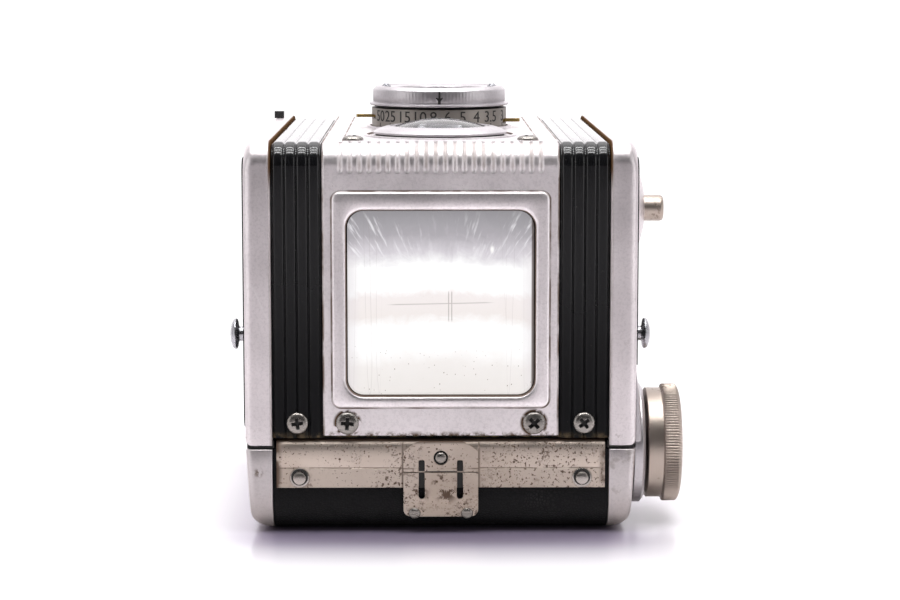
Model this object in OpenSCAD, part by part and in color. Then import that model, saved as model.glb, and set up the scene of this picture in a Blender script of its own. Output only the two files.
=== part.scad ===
// Twin-lens style box camera for 6 x 6 cm roll film, lying on its back cover.
// Z = 0 is the rear face of the cover and +Z is the lens axis.
// The reflex finder faces -Y, the camera's base faces +Y, and +X is the winding side.

/* [Body] */
// Width across the two side caps
body_w = 84.8; // [82:0.2:90]
// Length from the finder face to the base
body_l = 110; // [108:1:116]
// Depth from the back of the cover to the front plate
body_d = 85; // [84:0.5:90]
// Radius where the skins wrap onto the front
edge_r = 5; // [4.5:0.5:6]
// Width of each aluminium side cap
cap_w = 5.9; // [5:0.1:6]
// Width of each ribbed enamel band
band_w = 11; // [10.5:0.5:12]
// Height of the joint between body and cover
seam_z = 19; // [19:0.1:19.2]
// Pressed shell wall
wall = 1.4; // [1.2:0.1:1.4]
// Gap left between pieces that lie on each other
fit = 0.05; // [0.03:0.01:0.06]

/* [Cover] */
// Corner radius of the cover towards finder and base
cover_r = 9; // [8:0.5:10]
// Corner radius of the cover towards the sides
cover_side_r = 5; // [4.5:0.5:6]
// How far each side of the cover leans in above that corner
cover_lean = 0.9; // [0:0.1:1.2]
// Depth of the latch strip across the cover
strip_h = 10.5; // [9:0.1:10.5]
// Width of the latch
latch_w = 16.2; // [15:0.2:18]
// Height of the crease where the latch leaf bends
crease_z = 13.7; // [13.4:0.1:14]

/* [Finder] */
// Width of the finder window
window_w = 40.6; // [38:0.2:41]
// Height of the finder window
window_h = 40.2; // [38:0.1:40.4]
// Height of the window centre above the rest plane
window_z = 50.45; // [50:0.05:51]
// Side of the square raised frame round the window
frame_side = 47; // [45:0.5:48]
// Number of flutes on the rounded edge
flutes = 22; // [10:1:24]

/* [Lenses] */
// Centre of the viewing lens along the body
view_y = -28; // [-29:0.5:-27]
// Centre of the taking lens along the body
take_y = 7; // [6:0.5:8]
// Radius of the distance-scale barrel
barrel_r = 15.95; // [15.5:0.05:16.2]
// Radius of the focusing ring
ring_r = 15.65; // [15:0.05:16]
// Radius of the screwed focusing tube
tube_r = 12; // [11.5:0.1:12]
// Radius of the viewing lens ring
view_r = 14.9; // [14:0.1:15.5]

/* [Film transport] */
// Film spool axis, from the middle towards the finder face
spool_y = 38; // [37.5:0.1:38]
// Height of the winding axis
spool_z = 17; // [17:0.1:17.3]
// Spool length over the flanges
spool_l = 65.4; // [64:0.1:65.4]
// Spool flange radius
spool_r = 11.6; // [11:0.1:11.6]
// Side of the square picture
gate = 57; // [55:0.5:57]
// Height of the film plane
film_z = 9; // [9:0.1:9.2]
// Winding knob radius
knob_r = 13.05; // [12:0.05:13.1]
// Grooves round the winding knob
knob_grooves = 40; // [20:4:60]

/* [Hidden] */
$fn = 96;

half_w = body_w / 2;
half_l = body_l / 2;
in_x = half_w - cap_w;
panel_x = in_x - band_w;
skin_t = 1;
skin_gap = 0.05;
cap_proud = 0.2;
band_drop = 0.45;
shell_in = skin_t + skin_gap;
seam_half = 0.4;
body_z = seam_z + seam_half;
cover_z = seam_z - seam_half;
strip_top = cover_z + 2.1;
shell_z = strip_top + 0.4;
cover_l = half_l - band_drop + 0.05;
cover_x = in_x - 0.1;
sheet_t = 0.6;
far = 200;

// hinge at the camera's base
hinge_y = half_l + 1.3;
knuckle_r = 1.25;
hinge_pin_r = 0.6;
hinge_half = 22;
knuckle_cuts = [-22, -13.2, -4.4, 4.4, 13.2, 22];

// latch on the finder side
strip_y = -cover_l - fit;
leaf_y = strip_y - sheet_t - fit;
slot_x = 4.25;
slot_w = 1.4;
slot_z0 = 7.8;
slot_z1 = 16.5;
catch_z = 16.9;
catch_r = 1.2;
rivet_angle = 26;
rivet_x = 5.7;
strip_pin_x = 30.6;
strip_pin_z = 12.4;

// film transport
chamber_x = 34.6;
chamber_y = half_l - 2.6;
chamber_t = 1.2;
chamber_z0 = 10.4;
chamber_z1 = 30;
supply_y = 41.3;
supply_z = 34;
roller_r = 2.9;
roller_z = 12.2;
roller_near_y = -26;
roller_far_y = 40;
axle_r = 0.9;
shaft_r = 3;
bush_r = 4.5;
bore_fit = 0.05;

// lens stack
plate_z = body_d;
barrel_top = plate_z + 4.6;
ring_z = plate_z + 5.2;
ring_top = plate_z + 9.7;
lever_z = plate_z + 1.1;
shutter_z = 76.2;
blade_arm = 14;
blade_z = 78;

// controls on the side
release_y = -19;
release_z = 67.8;
boss_h = 4.6;
boss_r = 14;
button_r = 3;
stud_y = -41;
stud_z = 42;
base_r = 13.3;
ramp_r = 23.4;
base_h = 2.4;

// fasteners on the finder side
screw_z = 24.4;
screw_l = 2.3;
band_screw_x = 31;
panel_screw_x = 20.2;
plate_screw_x = 19;
plate_screw_y = -45;
socket_z = 50;
socket_r = 5;

/* outlines */

// Upright outline whose two upper corners are round
module arch(half, z0, z1, r) {
    translate([-half, z0]) square([2 * half, z1 - z0 - r]);
    translate([r - half, z0]) square([2 * (half - r), z1 - z0]);
    for (s = [-1, 1]) translate([s * (half - r), z1 - r]) circle(r);
}

// Upright outline whose two lower corners are round
module bowl(half, z0, z1, r) {
    translate([-half, z0 + r]) square([2 * half, z1 - z0 - r]);
    translate([r - half, z0]) square([2 * (half - r), z1 - z0]);
    for (s = [-1, 1]) translate([s * (half - r), z0 + r]) circle(r);
}

// The bowl with its sides leaning in by lean between height z1 and the round corners
module lean_bowl(half, z0, z1, r, lean) {
    low = half - lean;
    translate([r - low, z0]) square([2 * (low - r), r]);
    polygon([[-low, z0 + r], [low, z0 + r], [half, z1], [-half, z1]]);
    for (s = [-1, 1]) translate([s * (low - r), z0 + r]) circle(r);
}

// Rectangle with four round corners, centred
module round_rect(w, h, r) {
    square([w, h - 2 * r], center = true);
    square([w - 2 * r, h], center = true);
    for (sx = [-1, 1])
        for (sy = [-1, 1])
            translate([sx * (w / 2 - r), sy * (h / 2 - r)]) circle(r);
}

// Extrudes a Y-Z outline from x0 to x1
module along_x(x0, x1) {
    translate([x0, 0, 0]) rotate([90, 0, 90]) linear_extrude(x1 - x0) children();
}

// Extrudes an X-Z outline from y0 to y1
module along_y(y0, y1) {
    translate([0, y1, 0]) rotate([90, 0, 0]) linear_extrude(y1 - y0) children();
}

module rod_x(x0, x1, y, z, r) {
    translate([x0, y, z]) rotate([0, 90, 0]) cylinder(h = x1 - x0, r = r);
}

module rod_y(y0, y1, x, z, r) {
    translate([x, y1, z]) rotate([90, 0, 0]) cylinder(h = y1 - y0, r = r);
}

module rod_z(z0, z1, x, y, r) {
    translate([x, y, z0]) cylinder(h = z1 - z0, r = r);
}

module block(x0, x1, y0, y1, z0, z1) {
    translate([x0, y0, z0]) cube([x1 - x0, y1 - y0, z1 - z0]);
}

// Spherical cap of base radius r and height h, on Z = 0
module dome(r, h) {
    ball = (r * r + h * h) / (2 * h);
    intersection() {
        translate([0, 0, h - ball]) sphere(r = ball);
        translate([0, 0, h / 2]) cube([3 * r, 3 * r, h], center = true);
    }
}

// Wrap-round sheet from height z0: the body outline less the same outline moved in
module wrap(out, t, z0) {
    difference() {
        arch(half_l + out, z0, body_d + out, edge_r + out);
        arch(half_l + out - t, z0 - 1, body_d + out - t, edge_r + out - t);
    }
}

// Cross-recess screw, head up, seat on Z = 0
module cross_screw(r, h, shank_r, shank_l) {
    difference() {
        dome(r, h);
        for (a = [0, 90])
            rotate([0, 0, a])
                translate([0, 0, h]) cube([1.3 * r, 0.3 * r, h], center = true);
    }
    translate([0, 0, -shank_l]) cylinder(h = shank_l, r = shank_r);
}

/* back cover */

// Closed form of the cover, shrunk by inset on the outside
module cover_form(inset, x0, x1, half, r) {
    intersection() {
        along_x(x0, x1) bowl(half - inset, inset, seam_z + 1, r - inset);
        along_y(-far, far)
            lean_bowl(half_w - inset, inset, seam_z + 1, cover_side_r - inset, cover_lean);
    }
}

// Slot in the strip and cover that the catch pin passes through
module catch_slot(y0, y1) {
    along_y(y0, y1) {
        for (dz = [0, 0.9]) translate([0, catch_z + dz]) circle(catch_r + 0.2);
        translate([-catch_r - 0.2, catch_z]) square([2 * catch_r + 0.4, 0.9]);
    }
}

module rivet_axis(x) {
    translate([x, cover_r - cover_l, cover_r])
        rotate([90 + rivet_angle, 0, 0]) children();
}

module shaft_notch(x0, x1) {
    rod_x(x0, x1, -spool_y, spool_z, bush_r + 0.7);
    block(x0, x1, -spool_y - bush_r - 0.7, -spool_y + bush_r + 0.7, spool_z, spool_z + 20);
}

module back_cover() {
    color([0.05, 0.05, 0.05])
        difference() {
            intersection() {
                cover_form(0, -cover_x, cover_x, cover_l, cover_r);
                block(-far, far, -far, far, 0, cover_z);
            }
            cover_form(wall, wall - cover_x, cover_x - wall, cover_l, cover_r);
            rod_z(-1, 5, 0, take_y, 6);
            shaft_notch(cover_x - wall - 1, cover_x + 1);
            catch_slot(-cover_l - 1, -cover_l + wall + 1);
            for (s = [-1, 1]) {
                rivet_axis(s * rivet_x) translate([0, 0, 5]) cylinder(h = 6, r = 0.8);
                rod_y(-cover_l - 1, -cover_l + 3, s * strip_pin_x, strip_pin_z, 1.05);
            }
        }
}

module cover_cap() {
    difference() {
        intersection() {
            cover_form(0, in_x, half_w, half_l + cap_proud, cover_r);
            linear_extrude(cover_z) round_rect(body_w, body_l + 2 * cap_proud, 1.5);
        }
        cover_form(1.2, in_x - 1, half_w - 1.2, half_l + cap_proud, cover_r);
    }
}

module cover_cap_left() {
    color("silver") mirror([1, 0, 0]) cover_cap();
}

module cover_cap_right() {
    color("silver")
        difference() {
            cover_cap();
            shaft_notch(in_x - 1, half_w + 1);
        }
}

module red_window() {
    color([0.6, 0.05, 0.05])
        rod_z(0.3, wall - 0.1, 0, take_y, 6 - fit);
}

module latch_strip() {
    top = strip_top;
    color([0.7, 0.66, 0.6])
        difference() {
            union() {
                block(-35.6, 35.6, strip_y - sheet_t, strip_y, top - strip_h, top);
                block(-35.6, 35.6, strip_y - sheet_t, 1.4 - cover_l, top - sheet_t, top);
            }
            catch_slot(strip_y - 2, strip_y + 1);
            for (s = [-1, 1])
                rod_y(strip_y - 2, strip_y + 0.01, s * strip_pin_x, strip_pin_z, 1.05);
        }
}

module strip_pins() {
    color([0.7, 0.66, 0.6])
        for (s = [-1, 1])
            translate([s * strip_pin_x, strip_y - sheet_t, strip_pin_z])
                rotate([90, 0, 0]) {
                    cylinder(h = 0.3, r = 2.1);
                    translate([0, 0, 0.25]) cylinder(h = 0.5, r = 1.4);
                    translate([0, 0, 0.75]) dome(1.4, 0.45);
                    translate([0, 0, -2.3]) cylinder(h = 2.3, r = 1);
                }
}

// The latch's two upright slots
module latch_slots() {
    for (s = [-1, 1])
        along_y(leaf_y - 2, leaf_y + 1)
            translate([s * slot_x, (slot_z0 + slot_z1) / 2])
                round_rect(slot_w, slot_z1 - slot_z0, slot_w / 2 - 0.01);
}

// Flat part of the latch between two heights
module latch_sheet(z0, z1) {
    block(-latch_w / 2, latch_w / 2, leaf_y - sheet_t, leaf_y, z0, z1);
}

module latch_base() {
    bend_y = cover_r - cover_l;
    bend_r = bend_y - leaf_y;
    bend_drop = 5.4;
    color([0.7, 0.66, 0.6])
        difference() {
            union() {
                latch_sheet(cover_r, crease_z - 0.1);
                along_x(-latch_w / 2, latch_w / 2)
                    intersection() {
                        translate([bend_y, cover_r])
                            difference() {
                                circle(bend_r + sheet_t);
                                circle(bend_r);
                            }
                        translate([bend_y - 20, cover_r - bend_drop]) square([20, bend_drop]);
                    }
            }
            latch_slots();
            for (s = [-1, 1])
                rivet_axis(s * rivet_x) translate([0, 0, 5]) cylinder(h = 8, r = 0.8);
        }
}

module latch_rivets() {
    seat = cover_r - cover_l - leaf_y + sheet_t;
    color([0.7, 0.7, 0.7])
        for (s = [-1, 1])
            rivet_axis(s * rivet_x) {
                translate([0, 0, seat + fit]) dome(1.35, 0.8);
                translate([0, 0, 7.2]) cylinder(h = seat + fit - 7.2, r = 0.75);
            }
}

module latch_leaf() {
    top = strip_top - 0.2;
    chamfer = [[-9, -2.3], [-9, 1], [-3, 1]];
    color([0.74, 0.68, 0.64])
        difference() {
            latch_sheet(crease_z + 0.1, top);
            latch_slots();
            rod_y(leaf_y - 2, leaf_y + 1, 0, catch_z, catch_r);
            rod_y(leaf_y - 2, leaf_y - 0.25, 0, catch_z, catch_r + 0.5);
            for (s = [0, 1])
                mirror([s, 0, 0])
                    along_y(leaf_y - 2, leaf_y + 1)
                        translate([0, top]) polygon(chamfer);
        }
}

module catch_pin() {
    color([0.8, 0.8, 0.82]) {
        rod_y(leaf_y - sheet_t, -half_l + 3.2, 0, catch_z, catch_r);
        translate([0, leaf_y - sheet_t, catch_z]) rotate([90, 0, 0]) dome(catch_r, 0.5);
    }
}

/* base hinge */

module knuckles(first) {
    for (i = [first : 2 : 4])
        rod_x(knuckle_cuts[i] + 0.1, knuckle_cuts[i + 1] - 0.1, hinge_y, seam_z, knuckle_r);
}

module cover_hinge_leaf() {
    color("silver")
        difference() {
            union() {
                block(-hinge_half, hinge_half, cover_l + fit, cover_l + fit + 0.6, 12, seam_z - 1.3);
                for (i = [0, 2, 4])
                    block(knuckle_cuts[i] + 0.1, knuckle_cuts[i + 1] - 0.1,
                        cover_l + fit, cover_l + fit + 0.6, 12, cover_z);
                knuckles(0);
            }
            rod_x(-30, 30, hinge_y, seam_z, hinge_pin_r);
        }
}

module hinge_pin() {
    color("silver") rod_x(-hinge_half, hinge_half, hinge_y, seam_z, hinge_pin_r);
}

module body_hinge_leaf() {
    color("silver")
        difference() {
            union() {
                block(-13.1, 13.1, half_l + fit, half_l + 0.65, seam_z + 1.4, 30);
                for (i = [1, 3])
                    block(knuckle_cuts[i] + 0.1, knuckle_cuts[i + 1] - 0.1,
                        half_l + fit, half_l + 0.65, seam_z + 0.4, 30);
                knuckles(1);
            }
            rod_x(-30, 30, hinge_y, seam_z, hinge_pin_r + bore_fit);
        }
}

/* body */

module finder_hole(y0, y1, grow) {
    along_y(y0, y1)
        translate([0, window_z])
            round_rect(window_w + 2 * grow, window_h + 2 * grow, 3.7);
}

module body_shell() {
    color([0.06, 0.06, 0.06])
        difference() {
            along_x(-cover_x, cover_x)
                arch(half_l - shell_in, shell_z, body_d - shell_in, edge_r - shell_in);
            along_x(wall - cover_x, cover_x - wall)
                arch(half_l - shell_in - wall, 0, body_d - shell_in - wall, edge_r - shell_in - wall);
            finder_hole(-half_l, -half_l + 4, 0.2);
            rod_z(80, 90, 0, view_y, 11.1);
            rod_z(80, 90, 0, take_y, 13.5);
            rod_x(30, 40, -spool_y, spool_z, bush_r + 0.1);
            rod_x(30, 40, release_y, release_z, 1.6);
            rod_y(50, 60, 0, socket_z, socket_r + fit);
            for (s = [-1, 1]) {
                rod_y(-60, -50, s * band_screw_x, screw_z, 1.15);
                rod_y(-60, -50, s * panel_screw_x, screw_z, 1.35);
                rod_z(80, 90, s * plate_screw_x, plate_screw_y, 1.25);
            }
        }
}

module film_chamber() {
    side_z = supply_z + 6;
    color([0.08, 0.08, 0.08])
        difference() {
            union() {
                block(-chamber_x, chamber_x, -chamber_y, chamber_y, chamber_z0, chamber_z1);
                block(-chamber_x, chamber_x, 30, chamber_y, chamber_z0, side_z);
            }
            block(chamber_t - chamber_x, chamber_x - chamber_t,
                chamber_t - chamber_y, chamber_y - chamber_t, 0, 60);
            block(chamber_t - chamber_x, chamber_x - chamber_t, 0, 60, chamber_z1, 60);
            rod_x(0, 40, -spool_y, spool_z, bush_r + fit);
            rod_x(-40, 0, -spool_y, spool_z, 1.85);
            rod_x(-40, 40, supply_y, supply_z, 1.85);
            for (y = [roller_near_y, roller_far_y])
                rod_x(-40, 40, y, roller_z, axle_r + bore_fit);
            block(-1.6, 1.6, -60, -50, 0, catch_z + 2.1);
        }
}

module film_gate() {
    color([0.1, 0.1, 0.1])
        difference() {
            block(-32, 32, take_y - gate / 2 - 0.7, take_y + gate / 2 + 0.7, film_z, film_z + 1.2);
            block(-gate / 2, gate / 2, take_y - gate / 2, take_y + gate / 2, 0, 20);
        }
}

// Square pyramid frustum on the taking axis, from two crossed trapezoids
module frustum(base, top, z0, z1) {
    side = [[-base, z0], [base, z0], [top, z1], [-top, z1]];
    translate([0, take_y, 0])
        intersection() {
            along_x(-40, 40) polygon(side);
            along_y(-40, 40) polygon(side);
        }
}

module light_cone() {
    z0 = film_z + 1.25;
    base = gate / 2 + 0.7;
    color([0.07, 0.07, 0.07])
        difference() {
            frustum(base, 8, z0, shutter_z - fit);
            frustum(base - 0.9, 7.1, z0 - 0.01, shutter_z);
        }
}

module side_cap() {
    difference() {
        intersection() {
            along_x(in_x, half_w)
                arch(half_l + cap_proud, body_z, body_d + cap_proud, edge_r);
            along_y(-far, far) arch(half_w, 0, body_d + cap_proud, 3.5);
            linear_extrude(far) round_rect(body_w, body_l + 2 * cap_proud, 1.5);
        }
        along_x(in_x - 1, half_w - 1.2)
            arch(half_l + cap_proud - 1.2, 0, body_d + cap_proud - 1.2, edge_r - 1.2);
        rod_x(30, 50, stud_y, stud_z, 1.15);
    }
}

module side_cap_left() {
    color("silver") mirror([1, 0, 0]) side_cap();
}

module side_cap_right() {
    color("silver")
        difference() {
            side_cap();
            rod_x(30, 50, -spool_y, spool_z, bush_r + 0.1);
            rod_x(30, 50, release_y, release_z, button_r + 1.2);
        }
}

module side_panel() {
    z0 = body_z + 3.2;
    z1 = body_d - 3.6;
    difference() {
        along_x(half_w + fit, half_w + 0.4)
            translate([0, (z0 + z1) / 2]) round_rect(body_l - 6.8, z1 - z0, 3);
        rod_x(40, 50, stud_y, stud_z, 2.5);
    }
}

module side_panel_left() {
    color([0.09, 0.09, 0.09]) mirror([1, 0, 0]) side_panel();
}

module side_panel_right() {
    color([0.09, 0.09, 0.09])
        difference() {
            side_panel();
            rod_x(40, 50, -spool_y, spool_z, ramp_r + 0.4);
            rod_x(40, 50, release_y, release_z, boss_r + 0.3);
        }
}

module band() {
    band_z = strip_top + 0.4;
    pitch = 2.55;
    rib = 2.3;
    mid = (panel_x + in_x) / 2;
    difference() {
        union() {
            along_x(panel_x + fit, in_x - fit) wrap(-band_drop, skin_t - band_drop, band_z);
            for (i = [-1.5 : 1 : 1.5])
                along_x(mid + i * pitch - rib / 2, mid + i * pitch + rib / 2)
                    wrap(0.05, skin_t + 0.05, band_z);
        }
        rod_y(-60, -50, band_screw_x, screw_z, 1.15);
    }
}

module band_left() {
    color([0.02, 0.02, 0.02]) mirror([1, 0, 0]) band();
}

module band_right() {
    color([0.02, 0.02, 0.02]) band();
}

module finder_panel() {
    x = panel_x - fit;
    flute = 2.05;
    color([0.76, 0.73, 0.74])
        difference() {
            union() {
                along_x(-x, x)
                    intersection() {
                        wrap(0, skin_t, strip_top + 0.95);
                        translate([-half_l - 5, 0]) square([edge_r + 5, far]);
                    }
                along_y(-half_l - 0.8, -half_l + 0.2)
                    translate([0, window_z + 0.75]) round_rect(frame_side, frame_side, 1.75);
                for (i = [0 : flutes - 1])
                    translate([(i - (flutes - 1) / 2) * flute, 0, 0])
                        along_x(-0.55, 0.55)
                            translate([edge_r - half_l, body_d - edge_r])
                                intersection() {
                                    difference() {
                                        circle(edge_r + 0.3);
                                        circle(edge_r - 0.5);
                                    }
                                    translate([-10, 0]) square(10);
                                }
            }
            finder_hole(-60, -50, 0);
            for (s = [-1, 1])
                rod_y(-60, -50, s * panel_screw_x, screw_z, 1.35);
        }
}

module finder_lens() {
    color([0.8, 0.85, 0.9, 0.5])
        along_y(-half_l - 0.3, -half_l + 2)
            translate([0, window_z]) round_rect(window_w - 0.5, window_h - 0.5, 3.45);
}

// Local frame of the finder mirror: its face is Z = 0, tilted 45 degrees
module mirror_frame() {
    translate([0, -29.5, 51.5]) rotate([45, 0, 0]) children();
}

module finder_mirror() {
    color([0.85, 0.88, 0.9])
        mirror_frame() translate([0, 0, -0.6]) cube([40, 54, 1.2], center = true);
}

module mirror_mount() {
    color([0.2, 0.2, 0.2])
        mirror_frame() {
            translate([0, 0, -1.65]) cube([42, 55, 0.8], center = true);
            for (s = [-1, 1])
                translate([s * 20.6, 0, -0.3]) cube([0.8, 55, 3.5], center = true);
        }
}

module front_plate() {
    x = panel_x - fit;
    color([0.76, 0.73, 0.74])
        difference() {
            union() {
                along_x(-x, x)
                    intersection() {
                        wrap(0, skin_t, body_z + 1);
                        translate([edge_r - half_l + fit, 0]) square(far);
                    }
                for (y = [view_y, take_y])
                    rod_z(plate_z - 0.3, plate_z + 0.35, 0, y, 17.2);
            }
            for (y = [view_y, take_y])
                rod_z(plate_z, plate_z + 2, 0, y, 16.2);
            rod_z(80, 90, 0, view_y, 11.1);
            rod_z(80, 90, 0, take_y, 13.5);
            rod_y(50, 60, 0, socket_z, socket_r + fit);
            for (s = [-1, 1])
                rod_z(80, 90, s * plate_screw_x, plate_screw_y, 1.25);
        }
}

/* lenses */

module viewing_ring() {
    color([0.8, 0.78, 0.8])
        translate([0, view_y, plate_z + fit])
            difference() {
                union() {
                    cylinder(h = 0.55, r = view_r - 0.7);
                    translate([0, 0, 0.5]) cylinder(h = 0.5, r = view_r);
                    translate([0, 0, 1]) dome(view_r - 0.01, 2.2);
                    translate([0, 0, -3.5]) cylinder(h = 3.6, r = 11);
                }
                translate([0, 0, -5]) cylinder(h = 15, r = 10);
            }
}

module viewing_lens() {
    color([0.75, 0.8, 0.85, 0.5])
        translate([0, view_y, plate_z])
            difference() {
                intersection() {
                    translate([0, 0, 3.8 - 30]) sphere(r = 30);
                    translate([0, 0, -2.5]) cylinder(h = 8, r = 9.95);
                }
                translate([0, 0, -42.4]) sphere(r = 41);
            }
}

module lens_barrel() {
    color([0.25, 0.24, 0.23])
        translate([0, take_y, 0])
            difference() {
                union() {
                    rod_z(plate_z + fit, barrel_top, 0, 0, barrel_r);
                    rod_z(plate_z - 4.5, plate_z + 1, 0, 0, 13.2);
                }
                rod_z(plate_z - 3.3, plate_z + 10, 0, 0, tube_r + bore_fit);
                rod_z(plate_z + 0.6, barrel_top - 0.9, 0, 0, barrel_r - 0.6);
                rod_z(plate_z - 4.2, plate_z, 0, 0, 7.05);
                rod_z(plate_z - 6, plate_z, 0, 0, 6.4);
                intersection() {
                    block(0, 20, -5.5, 5.5, lever_z - 0.1, lever_z + 0.9);
                    rod_z(80, 95, 0, 0, 30);
                }
                block(-20, 0, -5.5, 5.5, lever_z + 1, lever_z + 1.9);
            }
}

module focus_ring() {
    color([0.8, 0.76, 0.78])
        translate([0, take_y, 0])
            difference() {
                union() {
                    rod_z(ring_z, ring_z + 0.6, 0, 0, ring_r + 0.8);
                    rod_z(ring_z, ring_top - 0.8, 0, 0, ring_r);
                    translate([0, 0, ring_top - 0.8])
                        cylinder(h = 0.8, r1 = ring_r, r2 = ring_r - 0.9);
                    rod_z(plate_z - 0.8, ring_z, 0, 0, tube_r);
                }
                rod_z(80, ring_top - 0.8, 0, 0, tube_r - 1);
                rod_z(80, 99, 0, 0, 10.2);
            }
}

module ring_studs() {
    color([0.7, 0.66, 0.6])
        for (s = [-1, 1])
            translate([s * 12.5, take_y, ring_top]) {
                cylinder(h = 0.4, r = 1.1);
                translate([0, 0, 0.4]) dome(1, 0.5);
            }
}

module front_lens() {
    color([0.75, 0.8, 0.85, 0.5])
        translate([0, take_y, ring_top - 5.2])
            intersection() {
                cylinder(h = 4.3, r = tube_r - 1 - fit);
                translate([0, 0, 4.2 - 32]) sphere(r = 32);
            }
}

module rear_lens() {
    color([0.75, 0.8, 0.85, 0.5])
        translate([0, take_y, plate_z - 4.15])
            intersection() {
                cylinder(h = 2, r = 7);
                translate([0, 0, 2 - 25]) sphere(r = 25);
            }
}

// Ring that turns inside the barrel and ends in a finger lever
module lever_ring(z, t, reach, w) {
    translate([0, take_y, z]) {
        difference() {
            cylinder(h = t, r = barrel_r - 0.75);
            translate([0, 0, -1]) cylinder(h = t + 2, r = tube_r + 0.4);
        }
        block(barrel_r - 1.5, reach, -w / 2, w / 2, 0, t);
        rod_z(0, t, reach, 0, w / 2);
    }
}

module aperture_lever() {
    color([0.7, 0.58, 0.4]) lever_ring(lever_z, 0.8, 18.4, 1.6);
}

module time_lever() {
    color([0.7, 0.58, 0.4])
        mirror([1, 0, 0]) lever_ring(lever_z + 1.1, 0.7, 19, 1.3);
}

module shutter_plate() {
    color([0.3, 0.3, 0.3]) {
        difference() {
            block(-22, 22, take_y - 16, take_y + 22, shutter_z, shutter_z + 1);
            rod_z(0, 99, 0, take_y, 6);
        }
        rod_z(shutter_z + 1, blade_z + 1.2, blade_arm, take_y, 1);
        for (x = [-20, 20])
            for (y = [-13.5, 19.5])
                rod_z(shutter_z + 1, body_d - shell_in - wall, x, take_y + y, 1.5);
    }
}

module shutter_blade() {
    color([0.12, 0.12, 0.12])
        difference() {
            union() {
                rod_z(blade_z, blade_z + 0.4, 0, take_y, 7);
                block(0, blade_arm, take_y - 2.2, take_y + 2.2, blade_z, blade_z + 0.4);
                rod_z(blade_z, blade_z + 0.4, blade_arm, take_y, 2.6);
            }
            rod_z(70, 80, blade_arm, take_y, 1 + bore_fit);
        }
}

/* controls */

module release_button() {
    color([0.72, 0.65, 0.52]) {
        rod_x(half_w - 2.4, half_w + 8.6, release_y, release_z, button_r);
        rod_x(30, half_w - 2.3, release_y, release_z, 1.5);
    }
}

module release_boss() {
    color("silver")
        difference() {
            translate([half_w + fit, release_y, release_z])
                rotate([0, 90, 0]) dome(boss_r, boss_h);
            rod_x(40, 60, release_y, release_z, button_r + bore_fit);
        }
}

module contact_post() {
    color([0.2, 0.2, 0.2])
        block(-41, -38.7, 38.8, 41.1, body_d + cap_proud, body_d + 1.9);
}

module strap_studs() {
    color([0.75, 0.75, 0.78])
        for (s = [0, 1])
            mirror([s, 0, 0])
                translate([half_w, stud_y, stud_z])
                    rotate([0, 90, 0]) {
                        translate([0, 0, -2]) cylinder(h = 2.1, r = 1.1);
                        translate([0, 0, fit]) cylinder(h = 2.2, r = 1.6);
                        translate([0, 0, 2.2]) cylinder(h = 0.8, r = 3.4);
                        translate([0, 0, 3]) dome(3.4, 1);
                    }
}

module knob_base() {
    color([0.74, 0.72, 0.74])
        translate([half_w + fit, -spool_y, spool_z])
            rotate([0, 90, 0])
                difference() {
                    union() {
                        cylinder(h = base_h - 0.6, r = base_r);
                        translate([0, 0, base_h - 0.6])
                            cylinder(h = 0.6, r1 = base_r, r2 = base_r - 0.8);
                        intersection() {
                            cylinder(h = base_h - 1, r1 = ramp_r, r2 = base_r);
                            translate([-64, -15.5, 0]) cube([61, 80, 20]);
                        }
                    }
                    translate([0, 0, -1]) cylinder(h = 20, r = shaft_r + 0.3);
                }
}

module winding_knob() {
    x0 = half_w + base_h + 0.7;
    color([0.74, 0.7, 0.66])
        translate([x0, -spool_y, spool_z])
            rotate([0, 90, 0])
                difference() {
                    union() {
                        cylinder(h = 4.2, r = knob_r - 0.85);
                        translate([0, 0, 3.8]) cylinder(h = 2.7, r = knob_r);
                        translate([0, 0, 6.5])
                            cylinder(h = 1.1, r1 = knob_r, r2 = knob_r - 1.4);
                    }
                    translate([0, 0, -1]) cylinder(h = 3.5, r = shaft_r);
                    for (a = [0 : 360 / knob_grooves : 359])
                        rotate([0, 0, a])
                            translate([knob_r, 0, 5.6])
                                cube([0.6, 0.7, 3.4], center = true);
                }
}

module winding_shaft() {
    color([0.7, 0.66, 0.6]) {
        rod_x(33.1, half_w + base_h + 3.2, -spool_y, spool_z, shaft_r - bore_fit);
        block(30.6, 33.1, -spool_y - 2.6, -spool_y + 2.6, spool_z - 0.6, spool_z + 0.6);
    }
}

module shaft_bush() {
    color([0.7, 0.58, 0.35])
        difference() {
            rod_x(33.3, half_w, -spool_y, spool_z, bush_r);
            rod_x(30, 50, -spool_y, spool_z, shaft_r);
        }
}

module take_up_spool() {
    color([0.15, 0.15, 0.16])
        difference() {
            union() {
                rod_x(-spool_l / 2, spool_l / 2, -spool_y, spool_z, 3.55);
                for (s = [0, 1])
                    mirror([s, 0, 0])
                        rod_x(spool_l / 2 - 0.8, spool_l / 2, -spool_y, spool_z, spool_r);
            }
            rod_x(-40, -30.5, -spool_y, spool_z, 1.9);
            block(30.5, 40, -spool_y - 2.7, -spool_y + 2.7, spool_z - 0.7, spool_z + 0.7);
        }
}

// Headed pivot pointing to -X, its head on the chamber wall
module pivot() {
    rod_x(31.5, chamber_x + 0.05, 0, 0, 1.8);
    rod_x(chamber_x + 0.03, chamber_x + 0.35, 0, 0, 3);
}

module idler_pin() {
    color("silver")
        mirror([1, 0, 0]) translate([0, -spool_y, spool_z]) pivot();
}

module supply_pivots() {
    color("silver")
        for (s = [0, 1])
            mirror([s, 0, 0]) translate([0, supply_y, supply_z]) pivot();
}

module roller(y) {
    color("silver") {
        rod_x(-31.5, 31.5, y, roller_z, roller_r);
        rod_x(-34.3, 34.3, y, roller_z, axle_r);
    }
}

module roller_near() {
    roller(roller_near_y);
}

module roller_far() {
    roller(roller_far_y);
}

/* fasteners */

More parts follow.
